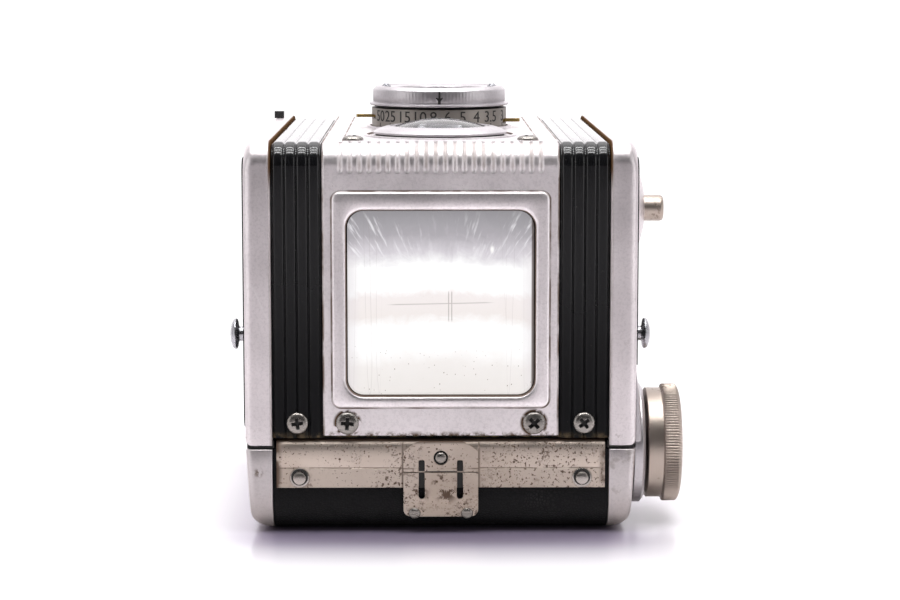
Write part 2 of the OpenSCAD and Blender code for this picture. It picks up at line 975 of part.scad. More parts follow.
module band_screws() {
    color([0.6, 0.56, 0.5])
        for (s = [-1, 1])
            translate([s * band_screw_x, -half_l - 0.1, screw_z])
                rotate([90, 0, 0]) cross_screw(2.4, 0.95, 1.1, screw_l);
}

module panel_screws() {
    color([0.6, 0.56, 0.5])
        for (s = [-1, 1])
            translate([s * panel_screw_x, -half_l - fit, screw_z])
                rotate([90, 0, 0]) cross_screw(2.55, 1.1, 1.3, screw_l);
}

module plate_screws() {
    color([0.7, 0.66, 0.6])
        for (s = [-1, 1])
            translate([s * plate_screw_x, plate_screw_y, plate_z + fit])
                cross_screw(2.4, 1.1, 1.2, screw_l);
}

module tripod_socket() {
    color([0.7, 0.58, 0.35])
        difference() {
            union() {
                rod_y(46.5, half_l + 0.1, 0, socket_z, socket_r);
                rod_y(half_l + fit, half_l + 0.6, 0, socket_z, socket_r + 1);
            }
            rod_y(48, 60, 0, socket_z, 2.55);
        }
}

back_cover();
cover_cap_left();
cover_cap_right();
red_window();
latch_strip();
strip_pins();
latch_base();
latch_rivets();
latch_leaf();
catch_pin();
cover_hinge_leaf();
hinge_pin();
body_hinge_leaf();
body_shell();
film_chamber();
film_gate();
light_cone();
side_cap_left();
side_cap_right();
side_panel_left();
side_panel_right();
band_left();
band_right();
finder_panel();
finder_lens();
finder_mirror();
mirror_mount();
front_plate();
viewing_ring();
viewing_lens();
lens_barrel();
focus_ring();
ring_studs();
front_lens();
rear_lens();
aperture_lever();
time_lever();
shutter_plate();
shutter_blade();
release_button();
release_boss();
contact_post();
strap_studs();
knob_base();
winding_knob();
winding_shaft();
shaft_bush();
take_up_spool();
idler_pin();
supply_pivots();
roller_near();
roller_far();
band_screws();
panel_screws();
plate_screws();
tripod_socket();
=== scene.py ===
"""Looks of a twin-lens style box camera that lies on its back cover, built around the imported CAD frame.

Metres throughout. +Z is the lens axis, the reflex finder faces -Y and the winding knob is on +X.
"""
import math
from functools import reduce
from operator import or_

import bmesh
import bpy
from mathutils import Matrix, Vector


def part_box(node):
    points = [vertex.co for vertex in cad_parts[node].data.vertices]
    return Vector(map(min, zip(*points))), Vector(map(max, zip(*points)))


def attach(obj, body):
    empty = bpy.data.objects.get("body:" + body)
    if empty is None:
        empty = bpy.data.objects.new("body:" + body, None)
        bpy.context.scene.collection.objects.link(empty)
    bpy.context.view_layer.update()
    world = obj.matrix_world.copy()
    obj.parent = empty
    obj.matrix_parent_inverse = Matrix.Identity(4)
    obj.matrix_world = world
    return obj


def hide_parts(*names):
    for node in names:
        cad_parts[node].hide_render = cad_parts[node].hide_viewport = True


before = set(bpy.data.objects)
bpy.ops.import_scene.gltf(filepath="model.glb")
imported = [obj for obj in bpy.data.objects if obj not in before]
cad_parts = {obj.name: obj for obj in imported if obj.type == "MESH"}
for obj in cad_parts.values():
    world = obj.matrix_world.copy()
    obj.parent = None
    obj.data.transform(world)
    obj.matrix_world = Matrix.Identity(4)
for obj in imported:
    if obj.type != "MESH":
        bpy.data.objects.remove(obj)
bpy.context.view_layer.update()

MM = 0.001
UP = Vector((0, 0, 1))
OUT = Vector((0, -1, 0))
RIGHT = Vector((1, 0, 0))

# ---------------------------------------------------------------- sizes taken from the frame
cap_lo, cap_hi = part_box("side_cap_right")
cover_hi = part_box("cover_cap_right")[1]
panel_lo, panel_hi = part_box("finder_panel")
plate_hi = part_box("front_plate")[1]
band_lo, band_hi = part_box("band_right")
glass_lo, glass_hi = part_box("finder_lens")
strip_lo, strip_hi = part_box("latch_strip")
leaf_lo, leaf_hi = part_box("latch_leaf")
base_lo, base_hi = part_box("latch_base")
barrel_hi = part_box("lens_barrel")[1]
ring_lo, ring_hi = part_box("focus_ring")
view_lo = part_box("viewing_ring")[0]
knob_lo, knob_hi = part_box("winding_knob")
boss_lo, boss_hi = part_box("release_boss")
button_lo, button_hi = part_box("release_button")


def centre(name):
    """Middle of a node's box."""
    lo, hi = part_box(name)
    return (Vector(lo) + Vector(hi)) / 2


def pair(x, *rest):
    """The same place on the left and on the right."""
    return [(-x, *rest), (x, *rest)]


HALF_W = cap_hi.x
IN_X = cap_lo.x
CAP_L = cap_hi.y
CAP_TOP = cap_hi.z
BODY_Z = cap_lo.z
HALF_L = plate_hi.y
PLATE_Z = band_hi.z - 0.05 * MM
EDGE_R = 5 * MM
SHOULDER = PLATE_Z - EDGE_R
FLUTES, FLUTE_PITCH, FLUTE_W, FLUTE_DEEP = 22, 2.05 * MM, 1.3 * MM, 0.28 * MM
FLUTED = FLUTES / 2 * FLUTE_PITCH
TAKE_Y = centre("lens_barrel").y
VIEW_Y = centre("viewing_ring").y
WINDOW_Z = centre("finder_lens").z
WINDOW_W = glass_hi.x - glass_lo.x
WINDOW_H = glass_hi.z - glass_lo.z
OPENING_W, OPENING_H, OPENING_R = WINDOW_W + 0.5 * MM, WINDOW_H + 0.5 * MM, 3.7 * MM
FRAME_MID = WINDOW_Z + 0.75 * MM
FRAME = 47 * MM
BOARD_X, BOARD_Y, BOARD_R = 21.2 * MM, 49.6 * MM, 3 * MM
RECESS = 32.4 * MM
SCREW_Z = centre("band_screws").z
PANEL_SCREWS = pair(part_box("panel_screws")[1].x - 2.55 * MM, SCREW_Z)
BAND_SCREWS = pair(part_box("band_screws")[1].x - 2.4 * MM, SCREW_Z)
PINS = pair(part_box("strip_pins")[1].x - 2.1 * MM, centre("strip_pins").z)


# ---------------------------------------------------------------- material graphs
def joined(kind, **settings):
    """An operator that joins two fields in one math node."""
    return lambda self, other: self.graph.math(kind, self, other, **settings)


class Field:
    """A value worked out by a material's nodes; | is the larger of two masks, held within 0 to 1."""

    def __init__(self, graph, socket):
        self.graph = graph
        self.socket = socket

    __add__ = joined("ADD")
    __sub__ = joined("SUBTRACT")
    __mul__ = joined("MULTIPLY")
    __truediv__ = joined("DIVIDE")
    __pow__ = joined("POWER")
    __or__ = joined("MAXIMUM", clamp=True)

    def __rsub__(self, other):
        return self.graph.math("SUBTRACT", other, self)

    def __abs__(self):
        return self.graph.math("ABSOLUTE", self)


class Graph:
    """The node tree of a material or a world, with short calls for the nodes this file uses."""

    def __init__(self, name, world=False):
        self.owner = bpy.data.worlds.new(name) if world else bpy.data.materials.new(name)
        self.owner.use_nodes = True
        self.tree = self.owner.node_tree
        self.place = self.node("ShaderNodeTexCoord").outputs["Generated" if world else "Object"]
        split = self.node("ShaderNodeSeparateXYZ", {0: self.place})
        self.x, self.y, self.z = (Field(self, socket) for socket in split.outputs)

    def node(self, kind, inputs=(), **settings):
        """A new node with its settings, fed with inputs by name or number."""
        made = self.tree.nodes.new(kind)
        for key, value in settings.items():
            setattr(made, key, value)
        for key, value in dict(inputs).items():
            self.feed(made.inputs[key], value)
        return made

    def field(self, output, kind, inputs, **settings):
        return Field(self, self.node(kind, inputs, **settings).outputs[output])

    def feed(self, socket, value):
        if isinstance(value, Field):
            value = value.socket
        if isinstance(value, bpy.types.NodeSocket):
            self.tree.links.new(value, socket)
        elif isinstance(value, (tuple, list)) and socket.type == "RGBA":
            socket.default_value = (*value, 1)
        else:
            socket.default_value = value

    def set(self, **inputs):
        """Feeds the inputs of the material's surface, with _ for a space in their names."""
        for key, value in inputs.items():
            self.feed(self.tree.nodes["Principled BSDF"].inputs[key.replace("_", " ")], value)

    def surface(self, share, a, b):
        """Makes the whole surface a mix of the shaders a and b."""
        blend = self.node("ShaderNodeMixShader", {0: share, 1: a, 2: b})
        kind = "World Output" if "World Output" in self.tree.nodes else "Material Output"
        self.feed(self.tree.nodes[kind].inputs["Surface"], blend.outputs[0])

    def math(self, kind, *values, clamp=False):
        return self.field(0, "ShaderNodeMath", enumerate(values), operation=kind, use_clamp=clamp)

    def stretch(self, x, y, z):
        """Object coordinates scaled along each axis."""
        return self.field(0, "ShaderNodeMapping", {"Vector": self.place, "Scale": (x, y, z)})

    def noise(self, scale, detail=3, rough=0.55, where=None, warp=0.0):
        return self.field("Fac", "ShaderNodeTexNoise", {
            "Vector": where or self.place, "Scale": scale, "Detail": detail, "Roughness": rough,
            "Distortion": warp})

    def cells(self, scale, where=None, feature="F1"):
        inputs = {"Vector": where or self.place, "Scale": scale}
        return self.field("Distance", "ShaderNodeTexVoronoi", inputs, feature=feature)

    def band(self, value, low, high):
        """0 below low, 1 above high, smooth between; low above high turns it round."""
        inputs = {"Value": value, "From Min": min(low, high), "From Max": max(low, high)}
        if low > high:
            inputs.update({"To Min": 1, "To Max": 0})
        return self.field("Result", "ShaderNodeMapRange", inputs, interpolation_type="SMOOTHSTEP")

    def patches(self, scale, low, high, detail=3, rough=0.55):
        """Cloudy patches: 1 where a noise of that scale is above high, 0 where it is below low."""
        return self.band(self.noise(scale, detail, rough), low, high)

    def ramp(self, value, stops):
        made = self.node("ShaderNodeValToRGB", {"Fac": value})
        points = made.color_ramp.elements
        while len(points) < len(stops):
            points.new(0.5)
        for point, (at, colour) in zip(points, stops):
            point.position = at
            point.color = (*colour, 1)
        return Field(self, made.outputs["Color"])

    def mix(self, share, a, b):
        return self.field(2, "ShaderNodeMix", {0: share, 6: a, 7: b}, data_type="RGBA")

    def to_outline(self, up, middle, width, height, radius):
        """Distance from a rounded rectangle's outline, across X and along up; below 0 inside it."""
        q = [abs(self.x) - (width / 2 - radius), abs(up - middle) - (height / 2 - radius)]
        squares = [self.math("MAXIMUM", part, 0.0) ** 2.0 for part in q]
        outside = self.math("SQRT", squares[0] + squares[1])
        inside = self.math("MINIMUM", self.math("MAXIMUM", *q), 0.0)
        return outside + inside - radius

    def near(self, spots, low, high):
        """1 within low of one of the (x, z) spots on the near face, 0 beyond high."""
        away = [self.math("SQRT", abs(self.x - x) ** 2.0 + abs(self.z - z) ** 2.0) for x, z in spots]
        return reduce(or_, [self.band(one, high, low) for one in away])

    def soft_normal(self, radius):
        """Rounds hard edges in the shading only."""
        return self.node("ShaderNodeBevel", {"Radius": radius}, samples=4).outputs[0]

    def bump(self, height, depth, strength, radius):
        bump = self.node("ShaderNodeBump", {"Distance": depth, "Strength": strength, "Height": height,
                                            "Normal": self.soft_normal(radius)})
        self.set(Normal=bump.outputs[0])


# Dark brown for dirt, also used for the painted shade on the finder panel.
GRIME_AND_SHADE = (0.10, 0.055, 0.028)
# Rust brown, also used for the painted shadow round the latch.
RUST_AND_SHADE = (0.07, 0.032, 0.014)


def aluminium(name, tint, brush=(4, 4, 0.15), grime=None, rough=0.36, edge=0.25 * MM):
    """Satin aluminium: fine brushing, hand wear, sparse scratches, and grime where grime() says, which on the
    finder panel also holds painted shade.
    """
    g = Graph(name)
    lines = g.noise(900, 2, where=g.stretch(*brush))
    blotch = g.patches(180, 0.62, 0.75, 5, 0.7)
    colour = g.mix(g.patches(55, 0.35, 0.7, 4), tint, tuple(c * 0.86 for c in tint))
    colour = g.mix(blotch * 0.25, colour, (0.25, 0.21, 0.2))
    colour = g.mix(g.patches(1700, 0.45, 0.65, 3, 0.7) * 0.13, colour, (0.22, 0.2, 0.21))
    scratch = g.cells(260, g.stretch(1, 1, 0.07), "DISTANCE_TO_EDGE")
    scratch = g.band(scratch, 0.012, 0.0) * g.patches(30, 0.55, 0.7, 2)
    colour = g.mix(scratch * 0.45, colour, (0.9, 0.88, 0.88))
    pits = g.band(g.cells(420), 0.10, 0.05) * g.patches(70, 0.6, 0.68, 2)
    colour = g.mix(pits * 0.7, colour, GRIME_AND_SHADE)
    # The grime mask holds dirt, and on the finder panel painted shade as well.
    dirt = grime(g) if grime else 0.0
    colour = g.mix(dirt, colour, GRIME_AND_SHADE)
    clean = 1.0 - dirt
    roughness = lines * 0.16 + (rough - 0.08) + dirt * 0.4
    g.set(Base_Color=colour, Metallic=clean * 0.92, Roughness=roughness, Specular_IOR_Level=clean * 0.5)
    g.bump(lines * 0.5 - pits, 0.02 * MM, 0.35, edge)
    return g.owner


def nickel(name, tint, rust=0.5, edge=0.15 * MM, rough=0.3, strip=False):
    """Aged nickel plate: brown stains and clustered rust specks, with more dirt and a painted shadow round
    the latch on the cover's strip.
    """
    g = Graph(name)
    colour = g.mix(g.noise(70, 4), tint, tuple(c * 0.74 for c in tint))
    clusters = g.patches(75, 0.60 - 0.16 * rust, 0.72 - 0.12 * rust)
    dots = g.patches(1300, 0.55, 0.62, 3, 0.6) | g.band(g.cells(800), 0.24, 0.14)
    blots = g.patches(420, 0.64 - 0.05 * rust, 0.70 - 0.05 * rust, 5, 0.65)
    sparse = g.band(g.cells(480), 0.16, 0.08) * g.patches(240, 0.44, 0.54, 2)
    rust_and_shade = clusters * dots | blots * clusters * rust | sparse * (rust * 1.6)
    if strip:
        # On the strip the mask also holds a painted shadow round the latch.
        rust_and_shade = rust_and_shade | strip_wear_and_shadow(g) | strip_edges(g)
    stain = g.patches(60, 0.4, 0.7, 4) * (0.22 * rust + 0.05)
    colour = g.mix(stain, colour, (0.20, 0.12, 0.06))
    colour = g.mix(rust_and_shade * 0.92, colour, RUST_AND_SHADE)
    lines = g.noise(1200, 2, where=g.stretch(0.1, 1, 1))
    g.set(Base_Color=colour, Metallic=0.95 - rust_and_shade * 0.85, Roughness=lines * 0.14 + rough + rust_and_shade * 0.35)
    g.bump(rust_and_shade * -1.0, 0.05 * MM, 0.6, edge)
    return g.owner


def strip_wear_and_shadow(g):
    """Painted shadow round the latch's outline; rust between its slots and on the strip's right half, and
    dirt round the two pins.
    """
    latch = g.to_outline(g.z, (base_lo.z + leaf_hi.z) / 2, 2 * leaf_hi.x, leaf_hi.z - base_lo.z, 0.8 * MM)
    # Painted shadow: a dark line just outside the latch's outline.
    shade = g.band(latch, 0.0, 0.05 * MM) * g.band(latch, 0.6 * MM, 0.15 * MM)
    worn = g.near([(0.4 * MM, 11.4 * MM), (-5 * MM, 9.5 * MM), (1.2 * MM, 9.2 * MM)], 0.8 * MM, 3.2 * MM)
    worn = worn * g.patches(650, 0.5, 0.56, 4, 0.65)
    right = g.band(g.x, 8 * MM, 13 * MM) * g.patches(1500, 0.575, 0.64, 3, 0.6)
    few = g.patches(1900, 0.6, 0.66, 3, 0.6) * g.patches(110, 0.4, 0.52)
    halo = g.near(PINS, 1.9 * MM, 2.4 * MM) * g.patches(600, 0.38, 0.52, 4)
    return shade * 0.7 | worn | right | few | halo


def strip_edges(g):
    """Darker under the strip's rounded top; dirt at its two ends and in its crease."""
    patchy = g.patches(260, 0.35, 0.55, 4)
    top = g.band(g.z, strip_hi.z - 0.9 * MM, strip_hi.z - 0.2 * MM)
    ends = g.band(abs(g.x), strip_hi.x - 1.6 * MM, strip_hi.x - 0.2 * MM)
    crease = g.band(abs(g.z - (strip_lo.z + 4.35 * MM)), 0.22 * MM, 0.1 * MM)
    return top | ends * patchy | crease * patchy * 0.6


def enamel(name, edge=0.2 * MM):
    """Glossy baked black enamel with dust and small rubs; duller and dirtier toward its foot."""
    g = Graph(name)
    dust = g.patches(1800, 0.66, 0.78, 2, 0.7)
    colour = g.mix(dust * 0.35, (0.004, 0.0042, 0.005), (0.10, 0.09, 0.08))
    foot = g.band(g.z, band_lo.z + 1.6 * MM, band_lo.z + 0.2 * MM) * g.patches(420, 0.4, 0.62, 4, 0.7)
    colour = g.mix(foot * 0.8, colour, (0.11, 0.08, 0.045))
    high = g.band(g.z, band_lo.z + 5 * MM, PLATE_Z - 3 * MM)
    roughness = g.noise(60, 4) * 0.16 + 0.07 + dust * 0.3 + (1.0 - high) * 0.22
    g.set(Base_Color=colour, Roughness=roughness, Specular_IOR_Level=high * 0.3 + 0.12,
          Coat_Weight=high * 0.3, Coat_Roughness=0.04)
    g.bump(g.noise(500, 2), 0.03 * MM, 0.18, edge)
    return g.owner


def leatherette(name):
    """Black pebbled covering, worn a little lighter on the high grain."""
    g = Graph(name)
    crease = g.cells(1500, feature="DISTANCE_TO_EDGE")
    colour = g.mix(g.band(crease, 0.0, 0.15), (0.003, 0.003, 0.0035), (0.007, 0.007, 0.008))
    wear = g.patches(45, 0.58, 0.75, 4) * g.band(crease, 0.1, 0.3)
    colour = g.mix(wear * 0.2, colour, (0.07, 0.065, 0.065))
    g.set(Base_Color=colour, Roughness=g.noise(300) * 0.2 + 0.38, Specular_IOR_Level=0.12)
    g.bump(g.band(crease, 0.0, 0.25) + g.noise(2400, 2) * 0.3, 0.08 * MM, 0.6, 0.3 * MM)
    return g.owner


def matt(name, colour, metallic=0.0, rough=0.6, edge=0.15 * MM):
    """Plain painted or oxidised inner metal, with a faint mottling."""
    g = Graph(name)
    cloud = g.noise(220, 4)
    shade = g.mix(cloud, colour, tuple(c * 0.6 for c in colour))
    rub = g.patches(900, 0.66, 0.8, 3, 0.7)
    shade = g.mix(rub * 0.3, shade, tuple(min(1, c * 3 + 0.04) for c in colour))
    g.set(Base_Color=shade, Metallic=metallic, Roughness=cloud * 0.2 + (rough - 0.1))
    g.bump(g.noise(1600, 2), 0.03 * MM, 0.4, edge)
    return g.owner


def lens_glass(name, tint):
    """Polished lens: clear, with a faint smear and dust."""
    g = Graph(name)
    dust = g.patches(1500, 0.7, 0.8, 2, 0.7)
    colour = g.mix(dust * 0.4, tint, (0.7, 0.68, 0.65))
    g.set(Base_Color=colour, Roughness=g.noise(90, 4) * 0.05 + dust * 0.3, IOR=1.52, Transmission_Weight=1.0)
    return g.owner


def side_grime(g):
    """Dirt packed beside the ribbed bands and near the lower edges of the side caps."""
    seam = g.band(abs(g.x), IN_X + 0.75 * MM, IN_X + 0.2 * MM)
    line = seam * (g.patches(130, 0.3, 0.55, 4) * 0.5 + 0.5)
    high = g.band(g.z, PLATE_Z - 14 * MM, PLATE_Z - 5 * MM)
    foot = g.band(g.z, BODY_Z + 6 * MM, BODY_Z - 2 * MM) * g.patches(420, 0.56, 0.66, 5, 0.7)
    return line * 0.35 | seam * high | foot * 0.6


def cover_grime(g):
    """Scuffs and a dent on the back cover's side caps, and darker toward the table."""
    darker_low = g.band(g.z, 13 * MM, 1 * MM) * 0.4
    dent = g.near([(-39.6 * MM, 13.5 * MM)], 0.2 * MM, 1.5 * MM) * g.patches(900, 0.42, 0.55)
    return darker_low | g.patches(300, 0.55, 0.68, 5, 0.7) * 0.3 | dent * 0.8


def panel_grime_and_shade(g):
    """Dirt round the raised frame and the screws, at the panel's edges and at its foot; painted shade round
    the glass and between its flutes.
    """
    patchy = g.patches(160, 0.35, 0.6, 4)
    some = patchy * 0.55 + 0.35
    across = abs(g.x)
    edge = g.band(across, panel_hi.x - 0.6 * MM, panel_hi.x - 0.1 * MM) * some
    rim = g.band(abs(g.to_outline(g.z, FRAME_MID, FRAME, FRAME, 2 * MM)), 0.3 * MM, 0.1 * MM) * some
    # Painted shade along the frame's inner edge next to the glass.
    glass = g.band(g.to_outline(g.z, WINDOW_Z, OPENING_W, OPENING_H, OPENING_R), 0.35 * MM, 0.12 * MM) * 0.9
    foot = g.band(g.z, panel_lo.z + 1.2 * MM, panel_lo.z) * g.patches(500, 0.42, 0.6, 5, 0.7)
    screws = g.near(PANEL_SCREWS, 2.6 * MM, 3.3 * MM) * g.patches(420, 0.4, 0.52)
    # Painted shade in the valleys between the flutes, a little patchy.
    phase = g.math("FRACT", g.x / FLUTE_PITCH + 100.0)
    valley = g.band(abs(phase - 0.5), 0.3, 0.08) * g.band(across, FLUTED, FLUTED - 0.1 * MM)
    valley = valley * g.band(g.z, SHOULDER - 1.2 * MM, SHOULDER) * (patchy * 0.3 + 0.2)
    return edge | rim | glass | foot | screws | valley


def plate_grime(g):
    """Brown line round the lens board, and a dark ring round each of the two lens recesses."""
    some = g.patches(160, 0.35, 0.6, 4) * 0.5 + 0.4
    flat = g.band(g.z, PLATE_Z - 2 * MM, PLATE_Z - 0.5 * MM)
    board = g.to_outline(g.y, 0.0, 2 * BOARD_X, 2 * BOARD_Y, BOARD_R)
    sides = g.band(abs(g.x), panel_hi.x - 0.6 * MM, panel_hi.x - 0.1 * MM)
    dirt = g.band(abs(board), 0.3 * MM, 0.1 * MM) * some * flat | sides * some
    for middle in (VIEW_Y, TAKE_Y):
        groove = abs(g.to_outline(g.y, middle, RECESS, RECESS, RECESS / 2 - 0.01 * MM))
        dirt = dirt | g.band(groove, 0.35 * MM, 0.15 * MM) * flat * 0.8
    return dirt


def finder_painted_light(name):
    """Finder glass that glows, with painted light: glaring bands as painted reflections, a hazy grey top as
    painted shade with caustics, fine lines and dust.
    """
    g = Graph(name)
    up = (g.z - WINDOW_Z) / (WINDOW_H / 2)
    across = g.x / (WINDOW_W / 2)
    ragged = (g.noise(190, 4, 0.6) - 0.5) * 0.16 + (g.noise(130, 5, 0.65, warp=1.5) - 0.5) * 0.2
    height = up + across * across * 0.05 + ragged
    glare = (1.0, 1.0, 1.0)
    # Painted reflections: two pure white glare bands; painted shade: the grey upper part.
    colour = g.ramp(height * 0.5 + 0.5, (
        (0.00, (0.80, 0.77, 0.74)), (0.17, (0.86, 0.83, 0.81)), (0.27, glare), (0.38, glare),
        (0.44, (0.86, 0.81, 0.79)), (0.54, (0.88, 0.83, 0.82)), (0.58, glare), (0.71, glare),
        (0.78, (0.66, 0.63, 0.67)), (0.88, (0.42, 0.40, 0.43)), (1.00, (0.34, 0.33, 0.35))))
    colour = caustics(g, colour, up, across)
    # Painted shade toward the upper sides; after it, a dark line along the right edge.
    sides = g.band(abs(across), 0.82, 1.0) * g.band(up, 0.75, 0.35)
    colour = g.mix(sides * 0.5, colour, (0.72, 0.68, 0.70))
    colour = g.mix(g.band(across, 0.965, 0.985) * 0.85, colour, (0.05, 0.03, 0.02))
    colour = glass_lines(g, colour, up, across)
    dust = g.band(g.cells(1000), 0.15, 0.07) * g.patches(160, 0.42, 0.55)
    colour = g.mix(dust * (g.band(up, -0.3, -0.8) * 0.9 + 0.06), colour, (0.16, 0.11, 0.07))
    # The glass glows: its painted colour is also given as emission.
    g.set(Base_Color=g.mix(0.8, colour, (0, 0, 0)), Roughness=0.16, Emission_Color=colour,
          Emission_Strength=0.86, Coat_Weight=0.15, Normal=g.soft_normal(0.4 * MM))
    return g.owner


def caustics(g, colour, up, across):
    """Slanting rays and small bright spots in the upper part of the finder glass."""
    slant = across / (up * 0.6 + 0.35)
    fan = g.field(0, "ShaderNodeCombineXYZ", {0: slant, 1: up * 0.18})
    high = g.band(up, 0.42, 0.6) * g.band(up, 1.05, 0.85)
    rays = g.band(g.noise(16, 3, 0.6, where=fan), 0.52, 0.7) * high * (abs(across) * 0.7 + 0.1)
    colour = g.mix(rays, colour, (0.95, 0.94, 0.97))
    spots = g.band(g.cells(430, g.stretch(1, 1, 0.5)), 0.26, 0.08) * g.patches(150, 0.5, 0.6, 2)
    belt = g.band(up, 0.5, 0.6) * g.band(up, 0.88, 0.7)
    return g.mix(spots * belt, colour, (1.0, 0.99, 0.98))


def glass_lines(g, colour, up, across):
    """A fine level line, a short double upright line, and faint scratches."""
    wide = abs(across)
    marks = g.band(abs(up - across * 0.02), 0.008, 0.003) * g.band(wide, 0.6, 0.45) * 0.5
    for x in (0.085, 0.118):
        line = g.band(abs(across - x), 0.008, 0.003) * g.band(abs(up + 0.03), 0.18, 0.14)
        marks = marks | line * 0.6
    faint = g.band(g.cells(330, g.stretch(1, 1, 0.03), "DISTANCE_TO_EDGE"), 0.012, 0.0)
    faint = faint * g.band(wide, 0.5, 0.8) * 0.3
    return g.mix(marks | faint, colour, (0.32, 0.28, 0.27))


UPRIGHT = (4, 4, 0.12)
skins = {
    "cap": aluminium("satin_cap", (0.80, 0.745, 0.76), grime=side_grime, brush=UPRIGHT, edge=0.3 * MM),
    "cover_cap": aluminium("satin_cover_cap", (0.66, 0.615, 0.62), grime=cover_grime, brush=(4, 0.4, 0.12)),
    "panel": aluminium("satin_panel", (0.88, 0.83, 0.845), grime=panel_grime_and_shade, brush=UPRIGHT, edge=0.12 * MM),
    "plate": aluminium("satin_plate", (0.78, 0.74, 0.76), grime=plate_grime, brush=(4, 0.15, 4)),
    "aluminium": aluminium("satin_plain", (0.60, 0.57, 0.59)),
    "nickel": nickel("aged_nickel", (0.64, 0.55, 0.48), rust=0.8, strip=True),
    "screw": nickel("screw_nickel", (0.34, 0.32, 0.30), rust=0.3, rough=0.2),
    "knob": nickel("knob_plate", (0.52, 0.445, 0.39), rust=0.2, rough=0.28),
    "stud": nickel("stud_steel", (0.50, 0.50, 0.53), rust=0.1, rough=0.2),
    "fitting": nickel("fitting_nickel", (0.50, 0.47, 0.44), rust=0.35),
    "pin": nickel("pin_nickel", (0.50, 0.46, 0.43), rust=0.35, rough=0.2),
    "enamel": enamel("black_enamel"),
    "leather": leatherette("pebbled_leatherette"),
    "inner": matt("inner_black", (0.016, 0.015, 0.016), rough=0.75),
    "glass": lens_glass("polished_lens", (0.93, 0.96, 1.0)),
    "mirror": matt("mirror_silver", (0.86, 0.88, 0.9), metallic=1.0, rough=0.12),
    "brass": matt("aged_brass", (0.52, 0.36, 0.13), metallic=0.95, rough=0.34),
    "spool": matt("spool_enamel", (0.03, 0.03, 0.032), metallic=0.6, rough=0.42),
    "scale": matt("barrel_grey", (0.34, 0.31, 0.28), metallic=0.7, rough=0.4),
    "ink": matt("engraved_ink", (0.012, 0.011, 0.01), rough=0.6),
    "filter": matt("red_filter", (0.22, 0.006, 0.004), rough=0.12),
    "window": finder_painted_light("finder_glow"),
}

CARRIED = {
    "leather": ("back_cover", "side_panel_left", "side_panel_right"),
    "enamel": ("body_shell", "rear_lens"),
    "plate": ("front_plate",),
    "fitting": ("cover_hinge_leaf", "body_hinge_leaf", "hinge_pin", "tripod_socket"),
    "inner": ("film_chamber", "film_gate", "light_cone", "mirror_mount", "shutter_plate", "shutter_blade",
              "idler_pin", "supply_pivots", "shaft_bush"),
    "spool": ("take_up_spool", "winding_shaft", "roller_near", "roller_far"),
    "mirror": ("finder_mirror",),
    "glass": ("front_lens", "viewing_lens"),
    "brass": ("aperture_lever", "time_lever"),
    "filter": ("red_window",),
}


def paint(obj, skin):
    """Gives the object one finish, in place of whatever it had."""
    if not obj.data.materials:
        obj.data.materials.append(None)
    for slot in obj.material_slots:
        slot.material = skins[skin]


# ---------------------------------------------------------------- stage: floor, light, camera
WHITE_GLOW = 1.15


def link(obj):
    bpy.context.collection.objects.link(obj)
    return obj


def stage_floor():
    """Pale glossy table: a painted lilac shade under and in front of the camera's near edge, seen only by
    camera rays, and burnt out to white farther off.
    """
    mesh = bpy.data.meshes.new("floor")
    reach = 6.0
    corners = [(-reach, -reach, 0), (reach, -reach, 0), (reach, reach, 0), (-reach, reach, 0)]
    mesh.from_pydata(corners, [], [(0, 1, 2, 3)])
    floor = link(bpy.data.objects.new("floor", mesh))
    floor.location.z = -0.05 * MM
    g = Graph("white_table")
    ray = g.node("ShaderNodeLightPath").outputs["Is Camera Ray"]
    # Painted shade: a dark lilac patch on the table under and in front of the camera, for camera rays only.
    near = g.band(g.y, -90 * MM, -56 * MM) * g.band(g.y, 40 * MM, 20 * MM)
    near = near * g.band(abs(g.x), 60 * MM, 34 * MM)
    seen = g.mix(near, (0.86, 0.84, 0.87), (0.26, 0.22, 0.31))
    g.set(Base_Color=g.mix(ray, (0.80, 0.77, 0.79), seen), Roughness=0.22, Specular_IOR_Level=0.5)
    far = g.field("Value", "ShaderNodeVectorMath", {0: g.place}, operation="LENGTH")
    glow = g.node("ShaderNodeEmission", {"Strength": WHITE_GLOW})
    plain = g.tree.nodes["Principled BSDF"]
    g.surface(g.band(far, 0.06, 0.2) * ray, plain.outputs[0], glow.outputs[0])
    mesh.materials.append(g.owner)


def lamp(name, spot, at, size, power):
    """Rectangular lamp at spot that points to at."""
    data = bpy.data.lights.new(name, "AREA")
    data.shape = "RECTANGLE"
    data.size, data.size_y = size
    data.energy = power
    made = link(bpy.data.objects.new(name, data))
    made.location = spot
    made.rotation_euler = (Vector(at) - made.location).to_track_quat("-Z", "Y").to_euler()
    made.visible_camera = False


